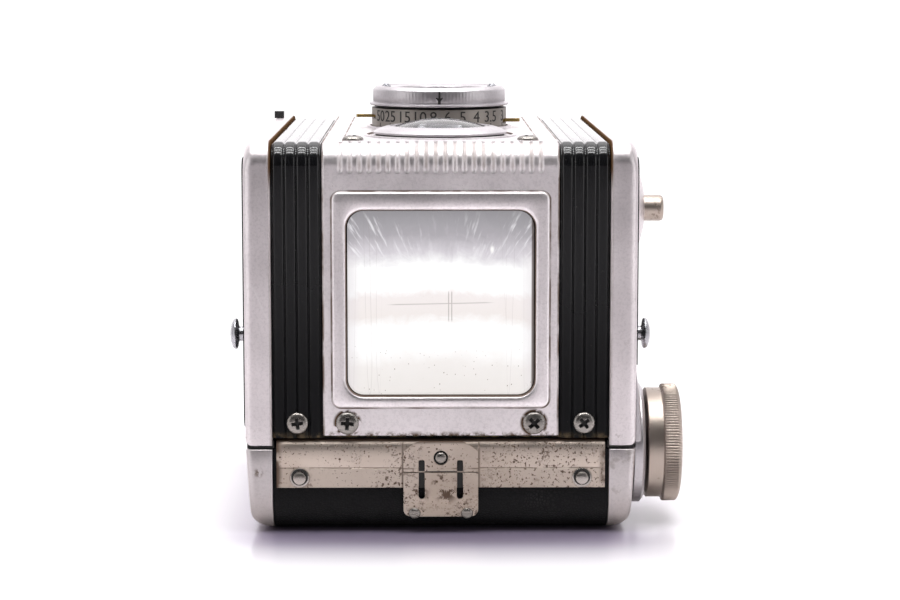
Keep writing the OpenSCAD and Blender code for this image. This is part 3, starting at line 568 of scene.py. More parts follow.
def studio_light():
    """White backdrop that lights from behind the camera body: dim in front of it, bright behind it."""
    g = Graph("studio", world=True)
    bpy.context.scene.world = g.owner
    stops = ((0.0, 0.02), (0.12, 0.045), (0.35, 0.15), (0.55, 0.32), (0.8, 0.6), (1.0, 1.0))
    grey = g.ramp(g.y * 0.5 + 0.5, [(at, (tone, tone, tone)) for at, tone in stops])
    soft = g.node("ShaderNodeBackground", {"Color": (1.0, 0.97, 0.99), "Strength": grey * 1.6})
    white = g.node("ShaderNodeBackground", {"Color": (1, 1, 1), "Strength": WHITE_GLOW})
    ray = g.node("ShaderNodeLightPath").outputs["Is Camera Ray"]
    g.surface(ray, soft.outputs[0], white.outputs[0])
    lamp("overhead", (0.0, 0.05, 0.75), (0, 0, 0.05), (1.3, 1.0), 5.0)
    for index, back in enumerate((0.02, -0.13, -0.28)):
        lamp(f"strip_{index}", (0.0, back, 0.62), (0, -0.02, 0.06), (0.7, 0.03), 1.3)
    for name, side in (("left_fill", -1), ("right_fill", 1)):
        lamp(name, (side * 0.75, -0.35, 0.25), (0, 0, 0.06), (0.5, 0.5), 0.8)


def photo_camera():
    data = bpy.data.cameras.new("camera")
    data.sensor_width = 36
    data.lens = 99.4
    data.clip_start = 0.01
    camera = link(bpy.data.objects.new("camera", data))
    camera.location = (-3.28 * MM, -584.9 * MM, 119.0 * MM)
    camera.rotation_euler = (math.radians(90 - 7.29), 0, math.radians(-0.57))
    bpy.context.scene.camera = camera


stage_floor()
studio_light()
photo_camera()
bpy.context.scene.view_settings.view_transform = "Standard"
for skin, names in CARRIED.items():
    for name in names:
        paint(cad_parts[name], skin)


def facing(direction):
    """Rotation that turns +Z to direction."""
    return UP.rotation_difference(Vector(direction)).to_matrix()


def quarter(steps):
    """Evenly spaced angles from 0 to a right angle."""
    return [math.pi / 2 * i / steps for i in range(steps + 1)]


def fuse(*shapes):
    """Several shapes as one."""
    points, faces = [], []
    for more, sides in shapes:
        start = len(points)
        points += more
        faces += [tuple(start + i for i in side) for side in sides]
    return points, faces


def move(shape, turn=Matrix.Identity(3), shift=(0, 0, 0)):
    return [turn @ Vector(p) + Vector(shift) for p in shape[0]], shape[1]


def loft(rings, loop=False):
    """Skin over rings of equal length: closed at both ends, or joined up end to end if loop."""
    count, size = len(rings), len(rings[0])
    points = [Vector(p) for ring in rings for p in ring]
    faces = []
    for i in range(count if loop else count - 1):
        a, b = i * size, (i + 1) % count * size
        faces += [(a + j, a + (j + 1) % size, b + (j + 1) % size, b + j) for j in range(size)]
    if not loop:
        faces += [tuple(range(size))[::-1], tuple(range((count - 1) * size, count * size))]
    return points, faces


def lathe(profile, seat=(0, 0, 0), axis=UP, steps=96, wave=None, loop=False):
    """Turned shape. profile is (radius, height) pairs in mm; wave(angle, index) scales a ring's radius."""
    turn = facing(axis)
    rings = []
    for index, (radius, height) in enumerate(profile):
        ring = []
        for step in range(steps):
            angle = 2 * math.pi * step / steps
            r = radius * (wave(angle, index) if wave else 1)
            point = Vector((r * math.cos(angle), r * math.sin(angle), height)) * MM
            ring.append(turn @ point + Vector(seat))
        rings.append(ring)
    return loft(rings, loop)


def thicken(outer, inner, faces):
    """A sheet with two sides: matching outer and inner points, and walls along every open edge."""
    edges = {(a, b) for face in faces for a, b in zip(face, face[1:] + face[:1])}
    shift = len(outer)
    walls = [(b, a, a + shift, b + shift) for a, b in edges if (b, a) not in edges]
    back = [tuple(i + shift for i in reversed(face)) for face in faces]
    return outer + inner, faces + back + sorted(walls)


def rectangle(x, half, low, high):
    return [(x - half, low), (x + half, low), (x + half, high), (x - half, high)]


def rounded(width, height, radius, steps=8):
    """Rounded rectangle about the origin as (across, up) pairs."""
    corners = ((1, 1, 0), (-1, 1, 90), (-1, -1, 180), (1, -1, 270))
    outline = []
    for sx, sy, start in corners:
        for turn in quarter(steps):
            angle = math.radians(start) + turn
            outline.append((sx * (width / 2 - radius) + radius * math.cos(angle),
                            sy * (height / 2 - radius) + radius * math.sin(angle)))
    return outline


def ease(value, low, high):
    t = min(1, max(0, (value - low) / (high - low)))
    return t * t * (3 - 2 * t)


def as_mesh(name, shape, sharp):
    """A clean mesh: doubles merged, faces outward, smooth except at edges sharper than sharp degrees."""
    mesh = bpy.data.meshes.new(name)
    mesh.from_pydata([tuple(p) for p in shape[0]], [], shape[1])
    work = bmesh.new()
    work.from_mesh(mesh)
    bmesh.ops.remove_doubles(work, verts=work.verts, dist=1e-7)
    bmesh.ops.delete(work, geom=[v for v in work.verts if not v.link_faces], context="VERTS")
    bmesh.ops.recalc_face_normals(work, faces=work.faces)
    work.to_mesh(mesh)
    work.free()
    mesh.shade_smooth()
    mesh.set_sharp_from_angle(angle=math.radians(sharp))
    return mesh


def piece(name, shape, skin, body, sharp=35, bevel=0.0, stands=None):
    """A visible piece that rides on a CAD body, in place of the CAD node of its own name or of stands."""
    made = link(bpy.data.objects.new(name, as_mesh(name, shape, sharp)))
    paint(made, skin)
    if bevel:
        soft_edges(made, bevel)
    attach(made, body)
    stands = stands or name
    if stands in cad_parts:
        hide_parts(stands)
    return made


def soft_edges(obj, width):
    soft = obj.modifiers.new("edges", "BEVEL")
    soft.width = width
    soft.segments = 2
    soft.limit_method = "ANGLE"
    soft.angle_limit = math.radians(38)
    soft.harden_normals = False


# ---------------------------------------------------------------- the ribbed bands and the finder panel
def outline(low, over=False):
    """Body outline as (y, z, outward y, outward z): up the near face, round its edge and, if over, down."""
    path = [(-HALF_L, low + (SHOULDER - low) * i / 10, -1.0, 0.0) for i in range(10)]
    for turn in quarter(18):
        ny, nz = -math.cos(turn), math.sin(turn)
        path.append((-HALF_L + EDGE_R + EDGE_R * ny, SHOULDER + EDGE_R * nz, ny, nz))
    if over:
        path += [(-y, z, -ny, nz) for y, z, ny, nz in reversed(path)]
    return path


RIB_PITCH, RIB_WIDTH, RIB_H = 2.55 * MM, 2.3 * MM, 0.48 * MM
RIB_ROUND = 0.75 * MM
BAND_BASE, BAND_BACK = -0.45 * MM, -0.95 * MM


def rib_height(x, middle):
    """Height of the band's face at x: four round-edged ribs over a flat base."""
    best = 0.0
    for rib in range(4):
        reach = RIB_WIDTH / 2 - abs(x - middle - (rib - 1.5) * RIB_PITCH)
        t = min(1, max(0, reach / RIB_ROUND))
        best = max(best, math.sqrt(1 - (1 - t) ** 2))
    return BAND_BASE + RIB_H * best


def ribbed_band(name, lo, hi):
    middle, steps = (lo.x + hi.x) / 2, 156
    section = []
    for step in range(steps + 1):
        x = lo.x + (hi.x - lo.x) * step / steps
        droop = 0.25 * MM * (1 - ease(min(x - lo.x, hi.x - x), 0, 0.35 * MM))
        section.append((x, rib_height(x, middle) - droop))
    section += [(hi.x, BAND_BACK), (lo.x, BAND_BACK)]
    rings = [[(x, y + ny * d, z + nz * d) for x, d in section] for y, z, ny, nz in outline(lo.z, over=True)]
    piece(name, loft(rings), "enamel", "camera", sharp=40)


def cap_outline(half, foot, top, high_r, low_r):
    """Closed (y, z) outline of a side cap, rounded by high_r at the top corners and low_r at the foot."""
    corners = ((1, top - high_r, high_r, 0), (-1, top - high_r, high_r, 90),
               (-1, foot + low_r, low_r, 180), (1, foot + low_r, low_r, 270))
    return [(side * (half - radius) + radius * math.cos(turn + math.radians(start)),
             z + radius * math.sin(turn + math.radians(start)))
            for side, z, radius, start in corners for turn in quarter(16)]


def side_cap(name, sign):
    """Cast side cap of the camera: one smooth roll from its rim to its flat outer face."""
    rim_y, rim_z, tiny, foot_r = 1.7 * MM, 3.5 * MM, 0.3 * MM, 1.3 * MM
    rings = [(IN_X, tiny, tiny), (IN_X + 0.1 * MM, 0.1 * MM, 0.1 * MM), (IN_X + tiny, 0, 0)]
    for turn in quarter(12):
        inset = 1 - math.cos(turn)
        rings.append((HALF_W - rim_z * 0.75 * (1 - math.sin(turn)), rim_y * inset, rim_z * inset))
    loops = []
    for x, in_y, in_z in rings:
        depth = min(1, max(0, (x - HALF_W + foot_r) / foot_r))
        foot = BODY_Z + foot_r * (1 - math.sqrt(1 - depth * depth))
        loop = cap_outline(CAP_L - in_y, foot, CAP_TOP - in_z, EDGE_R, 0.3 * MM)
        loops.append([(sign * x, y, z) for y, z in loop])
    piece(name, loft(loops), "cap", "camera", sharp=40)


def cover_cap(name, sign):
    """Cast side cap of the back cover: leans in a little, then rolls under to the table."""
    corner, lean, end_r, top = 5 * MM, 0.9 * MM, 9 * MM, cover_hi.z
    levels = [((0.03 + 4.97 * (step / 14) ** 1.8) * MM, 0) for step in range(15)]
    levels += [(z * MM, 0) for z in (7, 9, 12, 15)]
    levels += [(top - 0.35 * MM, 0), (top - 0.12 * MM, 0.06 * MM), (top, 0.2 * MM)]
    loops = []
    for z, inset in levels:
        out = HALF_W - lean - corner + math.sqrt(corner ** 2 - max(0, corner - z) ** 2)
        out += lean * max(0, z - corner) / (15 * MM) - inset
        reach = CAP_L - end_r + math.sqrt(end_r ** 2 - max(0, end_r - z) ** 2) - inset
        radius = min(1.6 * MM, (out - IN_X) * 0.8)
        inside = [(sign * IN_X, -reach), (sign * IN_X, reach)]
        far_end = []
        for turn in reversed(quarter(8)):
            far_end.append((sign * (out - radius + radius * math.cos(turn)),
                            reach - radius + radius * math.sin(turn)))
        near_end = [(x, -y) for x, y in reversed(far_end)]
        loops.append([(x, y, z) for x, y in inside + far_end + near_end])
    piece(name, loft(loops), "cover_cap", "cover", sharp=40)


def seam_lip(name, sign):
    """Dark light-trap lip that closes the joint between a side cap and the back cover."""
    x0, x1, y = sign * (IN_X - 0.4 * MM), sign * (HALF_W - 0.45 * MM), CAP_L - 0.7 * MM
    loops = [[(x0, -y, z), (x1, -y, z), (x1, y, z), (x0, y, z)]
             for z in (BODY_Z - 0.62 * MM, BODY_Z + 1.0 * MM)]
    piece(name, loft(loops), "ink", "camera", bevel=0.1 * MM)


HOLE_X = 21.9 * MM
HOLE_LOW, HOLE_HIGH = FRAME_MID - 21.9 * MM, FRAME_MID + 21.9 * MM


def flute_depth(x, z):
    """Upright scooped flutes over the panel's rounded edge; each has a round lower end."""
    offset = (x / FLUTE_PITCH) % 1 - 0.5
    reach = abs(offset * FLUTE_PITCH) / (FLUTE_W / 2)
    if abs(x) > FLUTED or reach >= 1:
        return 0.0
    foot = SHOULDER - 1.7 * MM + 0.7 * MM * (1 - math.sqrt(1 - reach * reach))
    return FLUTE_DEEP * math.cos(math.pi / 2 * reach) ** 1.5 * ease(z, foot, foot + 0.8 * MM)


def finder_sheet():
    """The panel's bent sheet, with a hole that hides under the raised frame."""
    straight = [panel_lo.z, 25 * MM, HOLE_LOW, 45 * MM, 60 * MM, HOLE_HIGH, 76 * MM]
    straight += [(77.8 + 0.12 * i) * MM for i in range(19)]
    path = [(-HALF_L, z, -1.0, 0.0) for z in straight] + outline(panel_lo.z)[10:]
    half = panel_hi.x
    xs = sorted({-HOLE_X, HOLE_X, *(-half + 2 * half * i / 460 for i in range(461))})
    outer, inner = [], []
    for y, z, ny, nz in path:
        for x in xs:
            d = -flute_depth(x, z) - 0.3 * MM * (1 - ease(half - abs(x), 0, 0.5 * MM))
            outer.append(Vector((x, y + ny * d, z + nz * d)))
            inner.append(Vector((x, y + ny * BAND_BACK, z + nz * BAND_BACK)))
    faces, width = [], len(xs)
    for row in range(len(path) - 1):
        middle = (path[row][1] + path[row + 1][1]) / 2
        for col in range(width - 1):
            in_hole = HOLE_LOW < middle < HOLE_HIGH and abs(xs[col] + xs[col + 1]) / 2 < HOLE_X
            if not in_hole:
                a = row * width + col
                faces.append((a, a + 1, a + width + 1, a + width))
    return thicken(outer, inner, faces)


def flat_ring(width, height, radius, middle, spread, rise):
    """Rounded rectangle on the near face, spread outward and raised by that many mm."""
    grow = 2 * spread * MM
    shape = rounded(width + grow, height + grow, radius + spread * MM)
    return [(x, -HALF_L - rise * MM, middle + up) for x, up in shape]


def frame_ring():
    """Raised frame round the finder glass, with soft outer and inner bevels."""
    outer = ((0.0, -0.9), (0.0, -0.1), (0.1, 0.35), (0.35, 0.66), (0.75, 0.8))
    inner = ((0.95, 0.8), (0.5, 0.72), (0.2, 0.5), (0.0, 0.1), (0.0, -0.9))
    rings = [flat_ring(FRAME, FRAME, 2 * MM, FRAME_MID, -inset, rise) for inset, rise in outer]
    rings += [flat_ring(OPENING_W, OPENING_H, OPENING_R, WINDOW_Z, spread, rise) for spread, rise in inner]
    return loft(rings, loop=True)


def finder_glass():
    """Crowned finder glass: a rounded plate with a softly domed outer face."""
    rings = []
    for inset, rise in ((0.0, -2.3), (0.0, -0.55), (0.12, -0.38), (0.5, -0.3), (3.0, -0.2), (8.0, -0.08),
                        (14.0, -0.02), (18.0, 0.0)):
        loss, radius = 2 * inset * MM, max(0.4, 3.45 - inset * 0.15) * MM
        shape = rounded(WINDOW_W - loss, WINDOW_H - loss, radius)
        rings.append([(x, glass_lo.y - rise * MM, WINDOW_Z + up) for x, up in shape])
    return loft(rings)


# ---------------------------------------------------------------- screws, pins and studs
def carve(shape, cutter):
    """shape with cutter taken out of it."""
    whole = link(bpy.data.objects.new("whole", as_mesh("whole", shape, 30)))
    tool = link(bpy.data.objects.new("tool", as_mesh("tool", cutter, 30)))
    cut = whole.modifiers.new("cut", "BOOLEAN")
    cut.operation = "DIFFERENCE"
    cut.solver = "EXACT"
    cut.object = tool
    result = whole.evaluated_get(bpy.context.evaluated_depsgraph_get()).to_mesh()
    points = [v.co.copy() for v in result.vertices]
    faces = [tuple(p.vertices) for p in result.polygons]
    for obj in (whole, tool):
        bpy.data.objects.remove(obj)
    return points, faces


def wedge(length, width, top, bottom):
    """Tapered block about the Z axis, for one arm pair of a cross recess; sizes in mm."""
    rings = []
    for height, shrink in ((top, 1.0), (bottom, 0.45)):
        x, y = length * shrink / 2, width * (0.5 + 0.5 * shrink) / 2
        rings.append([Vector((across, along, height)) * MM for across, along in rectangle(0, x, -y, y)])
    return loft(rings)


def cross_head(radius, height):
    """Domed screw with a cross recess, sizes in mm, head base at the origin, pointing up Z."""
    shank, lip = radius * 0.48, 0.12
    dome = [(shank, -2.2), (shank, 0.0), (radius * 0.97, 0.0), (radius, lip)]
    for turn in quarter(8)[1:8]:
        dome.append((radius * math.cos(turn) ** 0.75, lip + (height - lip) * math.sin(turn)))
    dome.append((radius * 0.02, height))
    arm = wedge(radius * 1.36, radius * 0.36, height + 0.3, height * 0.15)
    body = carve(lathe(dome, steps=40), arm)
    return carve(body, move(arm, Matrix.Rotation(math.radians(90), 3, "Z")))


def screw_set(name, radius, height, places, direction, twists):
    """Copies of one screw (sizes in mm), each turned by its own twist, with painted shade in every recess."""
    shape = cross_head(radius, height)
    copies = []
    for place, twist in zip(places, twists):
        turn = facing(direction) @ Matrix.Rotation(math.radians(twist), 3, "Z")
        copies.append(move(shape, turn, place))
    made = piece(name, fuse(*copies), "screw", "camera", sharp=32)
    # The recess faces get the dark ink finish as painted shade.
    made.data.materials.append(skins["ink"])
    for face in made.data.polygons:
        if any(in_recess((face.center - Vector(place)) / MM, direction, radius, height) for place in places):
            face.material_index = 1


def in_recess(offset, direction, radius, height):
    """True if a point, as mm from a screw's seat, lies below the screw's dome and near its middle."""
    rise = offset.dot(direction)
    out = (offset - rise * direction).length
    dome = height * math.sqrt(max(0, 1 - (out / radius) ** 2))
    return out < radius * 0.7 and 0.05 < rise < dome - 0.07


def small_hardware():
    """Screws of the near face and the front, and the two pins of the cover's strip, each with a painted
    shadow ring.
    """
    screw_set("band_screws", 2.35, 0.95, [(x, -HALF_L, z) for x, z in BAND_SCREWS], OUT, (8, 38))
    screw_set("panel_screws", 2.5, 1.1, [(x, -HALF_L, z) for x, z in PANEL_SCREWS], OUT, (-4, 41))
    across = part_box("plate_screws")[1].x - 2.4 * MM
    screw_set("plate_screws", 2.35, 1.05, pair(across, centre("plate_screws").y, PLATE_Z), UP, (25, 70))
    pin = lathe([(1.0, -1.2), (2.1, 0), (2.1, 0.2), (1.95, 0.3), (1.55, 0.3), (1.45, 0.22), (1.4, 0.3),
                 (1.4, 0.75), (1.3, 0.95), (1.0, 1.1), (0.5, 1.18), (0.02, 1.2)], steps=40)
    # Dark ring set a little above each pin's base: a painted shadow.
    ring = lathe([(1.3, 0.2), (1.85, 0.2), (1.8, 0.33), (1.4, 0.36)], steps=40, loop=True)
    seats = [Vector((x, strip_lo.y, z)) for x, z in PINS]
    piece("strip_pins", fuse(*(move(pin, facing(OUT), seat) for seat in seats)), "pin", "cover")
    dirt = fuse(*(move(ring, facing(OUT), seat + 0.2 * MM * UP) for seat in seats))
    piece("pin_shadow", dirt, "ink", "cover")


def strap_stud(side):
    """Waisted strap stud that stands out of a side cap, on a small collar."""
    reach = (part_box("strap_studs")[1].x - HALF_W) / MM
    middle = centre("strap_studs")
    profile = [(1.1, -0.6), (1.9, -0.5), (1.9, 0.15), (1.6, 0.35), (1.6, 1.9), (1.9, 2.12), (2.8, 2.22),
               (3.25, 2.38), (3.38, 2.65), (3.33, 2.95), (3.1, 3.25), (2.5, 3.55), (1.5, 3.83),
               (0.05, reach)]
    return lathe(profile, (side * HALF_W, middle.y, middle.z), (side, 0, 0), 48)


def winding_knob():
    """Film knob: plain collar, a rim with fine ridges and a dished face."""
    ridges = 132
    seat = (knob_lo.x, *centre("winding_knob").yz)
    top = (knob_hi.x - knob_lo.x) / MM
    profile = [(0.2, 2.4), (2.9, 2.4), (2.9, 0.0), (11.9, 0.0), (12.2, 0.25), (12.2, 3.45), (12.45, 3.6),
               (12.5, 3.65), (12.95, 3.8), (13.05, 4.0), (13.05, 6.6), (12.95, 6.85), (12.6, 7.15),
               (12.0, 7.4), (11.2, top), (10.6, top - 0.1), (10.2, 6.95), (9.9, 6.8), (4.6, 6.8), (4.3, 6.95),
               (4.0, 7.35), (3.4, top - 0.05), (0.2, top)]

    def wave(angle, index):
        valley = 0.5 - 0.5 * math.cos(ridges * angle)
        return 1 - 0.022 * valley ** 1.5 * (8 <= index < 13)

    piece("winding_knob", lathe(profile, seat, RIGHT, ridges * 6, wave), "knob", "winder", sharp=48)


def release_parts():
    """Wide shallow boss on the right side cap, and the plain release pin in its middle."""
    seat = (HALF_W, *centre("release_boss").yz)
    base = (boss_hi.y - boss_lo.y) / 2 / MM
    rise = (boss_hi.x - boss_lo.x) / MM
    ball = (base * base + rise * rise) / (2 * rise)
    profile = [(3.1, 0.05), (base, 0.05), (base, 0.12)]
    for r in (13.6, 13.0, 12, 11, 10, 9, 8, 7, 6, 5, 4.2, 3.6):
        profile.append((r, math.sqrt(ball ** 2 - r ** 2) - ball + rise))
    profile += [(3.3, rise - 0.45), (3.1, rise - 0.6)]
    piece("release_boss", lathe(profile, seat, RIGHT, loop=True), "cap", "camera", sharp=40)
    inner, outer = ((x - HALF_W) / MM for x in (button_lo.x, button_hi.x))
    profile = [(0.1, inner), (1.45, inner), (1.45, -2.35), (2.95, -2.35), (2.95, outer - 0.8),
               (2.8, outer - 0.3), (2.5, outer - 0.06), (2.1, outer), (0.1, outer - 0.05)]
    shape = lathe(profile, seat, RIGHT, 48)
    piece("release_pin", shape, "knob", "release_button", sharp=40, stands="release_button")


def viewing_ring():
    """Domed bezel of the viewing lens with a stepped inner seat, and painted shade in its groove."""
    foot = (view_lo.z - PLATE_Z) / MM + 0.02
    seat = (0, VIEW_Y, PLATE_Z)
    profile = [(11.0, foot), (11.0, 0.0), (14.2, 0.05), (14.2, 0.5), (14.9, 0.55), (14.9, 0.95),
               (14.55, 1.05), (14.2, 1.35), (13.2, 1.75), (12.2, 2.05), (11.4, 2.2), (11.1, 2.2),
               (11.0, 1.95), (10.7, 1.85), (10.5, 2.1), (10.2, 2.1), (10.05, 1.7), (10.05, foot)]
    piece("viewing_ring", lathe(profile, seat, steps=128, loop=True), "aluminium", "camera")
    # Dark ring in the groove under the bezel's lip: painted shade.
    groove = [(13.9, 0.06), (14.45, 0.06), (14.45, 0.5), (13.9, 0.5)]
    piece("viewing_groove", lathe(groove, seat, steps=128, loop=True), "ink", "camera")


def focus_ring():
    """Front focusing ring: knurled rim over a thin flange, and the tube that turns in the barrel."""
    top, foot = 4.5, (ring_lo.z - ring_hi.z) / MM + 4.5
    seat = (0, TAKE_Y, ring_hi.z - top * MM)
    profile = [(11.0, foot), (12.0, foot), (12.0, 0), (16.2, 0), (16.45, 0.12), (16.45, 0.5), (16.2, 0.62),
               (15.55, 0.66), (15.55, 0.8), (15.65, 0.95), (15.65, top - 1.0), (15.5, top - 0.75),
               (14.9, top - 0.15), (14.6, top), (13.9, top), (13.7, top - 0.2), (10.9, top - 0.35),
               (10.4, top - 0.5), (10.2, top - 0.9), (11.0, top - 1.0)]

    def wave(angle, index):
        return 1 - 0.003 * (0.5 - 0.5 * math.cos(120 * angle)) * (index in (9, 10))

    piece("focus_ring", lathe(profile, seat, steps=720, wave=wave, loop=True), "aluminium", "focus_ring")
    # Dark ring in the gap between barrel and focusing ring: painted shade.
    gap_shade = [(11.8, -0.62), (12.03, -0.62), (12.03, -0.3), (15.3, -0.3), (15.3, 0.02), (11.8, 0.02)]
    piece("ring_gap_shade", lathe(gap_shade, seat, loop=True), "ink", "focus_ring")
    radius, lip, height = 1.1, 0.2, 0.9
    neck = lip + 0.35
    stud = [(radius * 0.5, -1.2), (radius, 0), (radius, lip), (radius * 0.93, lip + 0.15),
            (radius * 0.7, lip + 0.2), (radius * 0.66, neck)]
    for turn in quarter(8)[1:8]:
        stud.append((radius * 0.66 * math.cos(turn), neck + (height - neck) * math.sin(turn)))
    stud.append((radius * 0.01, height))
    places = pair(12.5 * MM, TAKE_Y, ring_hi.z - 0.35 * MM)
    piece("ring_studs", fuse(*(lathe(stud, place, steps=40) for place in places)), "stud", "focus_ring")
    half = [(0.35, 0.72), (0.3, 1.5), (0.85, 2.05), (0.75, 2.3), (0.25, 2.1), (0.2, 3.6)]
    arrow = half + [(-x, up) for x, up in reversed(half)]
    piece("focus_index", around_ring(arrow, 15.67, seat[2], -90), "ink", "focus_ring")


def around_ring(outline_mm, radius, base, middle, depth=0.04):
    """Flat outline (across, up, in mm) wrapped on a ring of that radius about the taking lens."""
    rings = []
    for rise in (-depth, depth):
        ring = []
        for across, up in outline_mm:
            angle = math.radians(middle) + across / radius
            r = (radius + rise) * MM
            ring.append((r * math.cos(angle), TAKE_Y + r * math.sin(angle), base + up * MM))
        rings.append(ring)
    return loft(rings)


def numeral(text, size):
    """Outline text as a thin mesh shape in mm, centred across, base at 0."""
    curve = bpy.data.curves.new("numeral", "FONT")
    curve.body = text
    curve.size = size
    curve.align_x = "CENTER"
    curve.extrude = 0.03
    curve.resolution_u = 3
    obj = link(bpy.data.objects.new("numeral", curve))
    mesh = obj.evaluated_get(bpy.context.evaluated_depsgraph_get()).to_mesh()
    shape = [v.co.copy() for v in mesh.vertices], [tuple(p.vertices) for p in mesh.polygons]
    bpy.data.objects.remove(obj)
    bpy.data.curves.remove(curve)
    return shape


def barrel_scale():
    """Distance numbers round the lens barrel, each with a tick mark."""
    radius = barrel_hi.x / MM + 0.01
    base = barrel_hi.z - 2.95 * MM
    tick = rectangle(0, 0.1, -1.2, -0.35)
    marks = []
    for angle, text in ((-150, "50"), (-136, "25"), (-121, "15"), (-107, "10"), (-95, "8"), (-83, "6"),
                        (-70, "5"), (-57, "4"), (-41, "3.5"), (-22, "3")):
        points, faces = numeral(text, 3.7)
        bent = []
        for p in points:
            turn = math.radians(angle) + p.x / (radius - 0.01)
            r = (radius + p.z) * MM
            bent.append(Vector((r * math.cos(turn), TAKE_Y + r * math.sin(turn), base + p.y * MM)))
        marks += [(bent, faces), around_ring(tick, radius, base, angle)]
    piece("barrel_scale", fuse(*marks), "ink", "camera", sharp=30)


def prism(points_mm, low, high):
    """Outline in (across, up) mm, given depth along Y from low to high."""
    return loft([[(x * MM, y, z * MM) for x, z in points_mm] for y in (low, high)])


def cover_strip():
    """Bent strip across the back cover's near edge: a creased face, a rounded top and an inward lip."""
    out, low = strip_lo.y, strip_lo.z
    tall = (strip_hi.z - low) / MM
    section = [(0.0, 0.1), (0.0, 4.15), (0.09, 4.28), (0.09, 4.42), (0.03, 4.55), (0.05, tall - 2.6),
               (0.13, tall - 1.6), (0.4, tall - 0.8), (0.85, tall - 0.3), (1.4, tall - 0.05), (2.05, tall),
               (2.05, tall - 0.4), (1.4, tall - 0.5), (0.95, tall - 0.9), (0.7, tall - 1.7),
               (0.6, tall - 2.7), (0.6, 0.0), (0.1, 0.0)]
    half, edge = strip_hi.x, 0.15 * MM
    rings = []
    for x, inset in ((-half, 0.05), (-half + edge, 0), (half - edge, 0), (half, 0.05)):
        rings.append([(x, out + (y + inset * (y < 0.5)) * MM, low + z * MM) for y, z in section])
    notch = prism(rectangle(0, 1.6, CATCH_Z - 1.4, CATCH_Z + 2.1), out - 1 * MM, out + 1.2 * MM)
    shape = carve(loft(rings), notch)
    piece("latch_strip", shape, "nickel", "cover", sharp=32)


SLOT_X, SLOT_HALF, SLOT_LOW, SLOT_TOP, CREASE = 4.15, 0.7, 7.8, 16.5, 13.7
CATCH_Z = centre("catch_pin").z / MM
BEND = (-45.6 * MM, 9 * MM)
RIVET_LEAN = math.radians(26)


def latch_upper():
    """Spring leaf of the latch: chamfered top, two slot ends, and a hole that shows the catch pin with a
    painted shadow ring round it.
    """
    half, top, foot = leaf_hi.x / MM, leaf_hi.z / MM, CREASE + 0.1
    arch = [(SLOT_X + SLOT_HALF * math.cos(turn), SLOT_TOP - SLOT_HALF + SLOT_HALF * math.sin(turn))
            for turn in quarter(6)]
    slot = [(SLOT_X + SLOT_HALF, foot)] + arch + [(2 * SLOT_X - x, z) for x, z in reversed(arch[:-1])]
    slot += [(SLOT_X - SLOT_HALF, foot)]
    side = slot[::-1] + [(half - 0.25, foot), (half, foot + 0.25), (half, top - 2.4),
                         (half - 0.3, top - 1.85), (5.2, top - 0.2), (4.6, top)]
    whole = side + [(-x, z) for x, z in reversed(side)]
    seat = (0, leaf_lo.y, CATCH_Z * MM)
    shape = carve(prism(whole, leaf_lo.y, leaf_hi.y), lathe([(1.55, -2), (1.55, 2)], seat, OUT, 40))
    piece("latch_leaf", shape, "nickel", "latch", sharp=30, bevel=0.1 * MM)
    # Dark ring in the leaf's hole round the catch pin: a painted shadow.
    rim = lathe([(0.5, -0.56), (1.54, -0.56), (1.54, -0.3), (0.5, -0.3)], seat, OUT, 40, loop=True)
    piece("catch_shadow", rim, "ink", "latch")
    head = [(1.2, -0.55), (1.2, 0.05), (1.05, 0.25), (0.75, 0.4), (0.3, 0.46), (0.02, 0.47)]
    head = lathe(head, seat, OUT, 40)
    stem = lathe([(1.0, 0.4), (1.0, 3.6), (0.8, 4.0)], seat, -OUT, 32)
    piece("catch_pin", fuse(head, stem), "screw", "latch", sharp=40)


def latch_lower():
    """Fixed latch plate: flat with two slots, then curved under the cover with rounded corners."""
    half, thick, corner = base_hi.x, 0.6 * MM, 1.9 * MM
    bend_y, bend_z = BEND
    reach = bend_y - base_lo.y
    last = math.asin((bend_z - base_lo.z) / reach)
    path = [(base_lo.y, z * MM, 0.0) for z in (13.6, 13.45, 12.8, 12, 11, 10, 9.5)]
    for turn in (last * step / 24 for step in range(25)):
        path.append((bend_y - reach * math.cos(turn), bend_z - reach * math.sin(turn), turn))
    rings = []
    for y, z, turn in path:
        left = reach * (last - turn) if turn > 0 else corner
        t = max(0, 1 - left / corner)
        width = half - corner * (1 - math.sqrt(1 - t * t * 0.98))
        inner_y, inner_z = y + thick * math.cos(turn), z + thick * math.sin(turn)
        rings.append([(-width, y, z), (width, y, z), (width, inner_y, inner_z), (-width, inner_y, inner_z)])
    shape = loft(rings)
    slot = rounded(2 * SLOT_HALF, SLOT_TOP - SLOT_LOW, SLOT_HALF * 0.99, 6)
    for side in (-1, 1):
        points = [(side * SLOT_X + x, (SLOT_TOP + SLOT_LOW) / 2 + z) for x, z in slot]
        shape = carve(shape, prism(points, base_lo.y - 1 * MM, base_lo.y + 2 * MM))
    piece("latch_base", shape, "nickel", "cover", sharp=30, bevel=0.09 * MM)


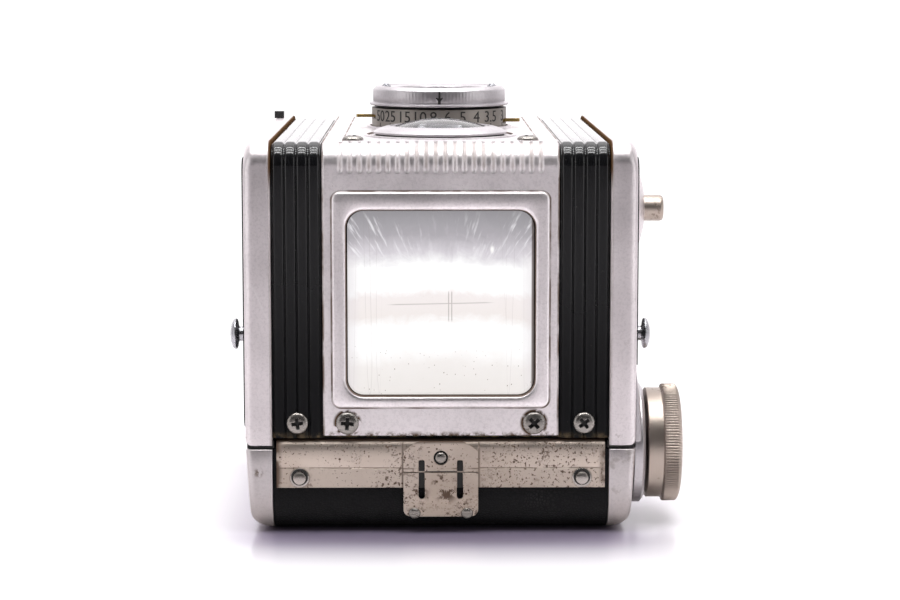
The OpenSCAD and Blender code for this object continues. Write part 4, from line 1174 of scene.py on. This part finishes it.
def latch_dirt_and_shade():
    """Painted shade and packed dirt: dark plates at the bottom of the latch's slots, and a dark line along
    its crease.
    """
    upper, lower = [], []
    for x in (-SLOT_X, SLOT_X):
        for shapes, low, high in ((upper, CREASE + 0.15, 16.2), (lower, 10.2, CREASE - 0.15)):
            shapes.append(prism(rectangle(x, 0.62, low, high), leaf_hi.y - 0.1 * MM, leaf_hi.y))
    crease = rectangle(0, SLOT_X - 0.65, CREASE + 0.1, CREASE + 0.26)
    upper.append(prism(crease, leaf_lo.y - 0.03 * MM, leaf_lo.y + 0.05 * MM))
    # Dark plates and crease line: painted shade with packed dirt.
    piece("latch_shade_upper", fuse(*upper), "ink", "latch")
    piece("latch_shade_lower", fuse(*lower), "ink", "cover")


def latch_rivets():
    """Two domed rivets on the curved foot of the latch plate."""
    lean = Vector((0, -math.cos(RIVET_LEAN), -math.sin(RIVET_LEAN)))
    head = [(1.35, -1.0), (1.35, 0.1), (1.2, 0.35), (0.85, 0.58), (0.4, 0.68), (0.02, 0.7)]
    places = pair(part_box("latch_rivets")[1].x - 1.35 * MM, *BEND)
    seats = [Vector(place) + lean * 10.3 * MM for place in places]
    piece("latch_rivets", fuse(*(lathe(head, seat, lean, 36) for seat in seats)), "screw", "cover", sharp=40)


for side, sign in (("left", -1), ("right", 1)):
    side_cap(f"side_cap_{side}", sign)
    cover_cap(f"cover_cap_{side}", sign)
    seam_lip(f"seam_lip_{side}", sign)
    ribbed_band(f"band_{side}", *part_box(f"band_{side}"))
piece("finder_panel", finder_sheet(), "panel", "camera", sharp=50)
piece("finder_frame", frame_ring(), "panel", "camera", sharp=60)
piece("finder_glass", finder_glass(), "window", "camera", sharp=60, stands="finder_lens")
small_hardware()
piece("strap_studs", fuse(strap_stud(1), strap_stud(-1)), "stud", "camera")
winding_knob()
release_parts()
viewing_ring()
focus_ring()
barrel_scale()
cover_strip()
latch_upper()
latch_lower()
latch_dirt_and_shade()
latch_rivets()
for skin, name in (("aluminium", "knob_base"), ("scale", "lens_barrel")):
    paint(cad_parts[name], skin)
    soft_edges(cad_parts[name], 0.12 * MM)
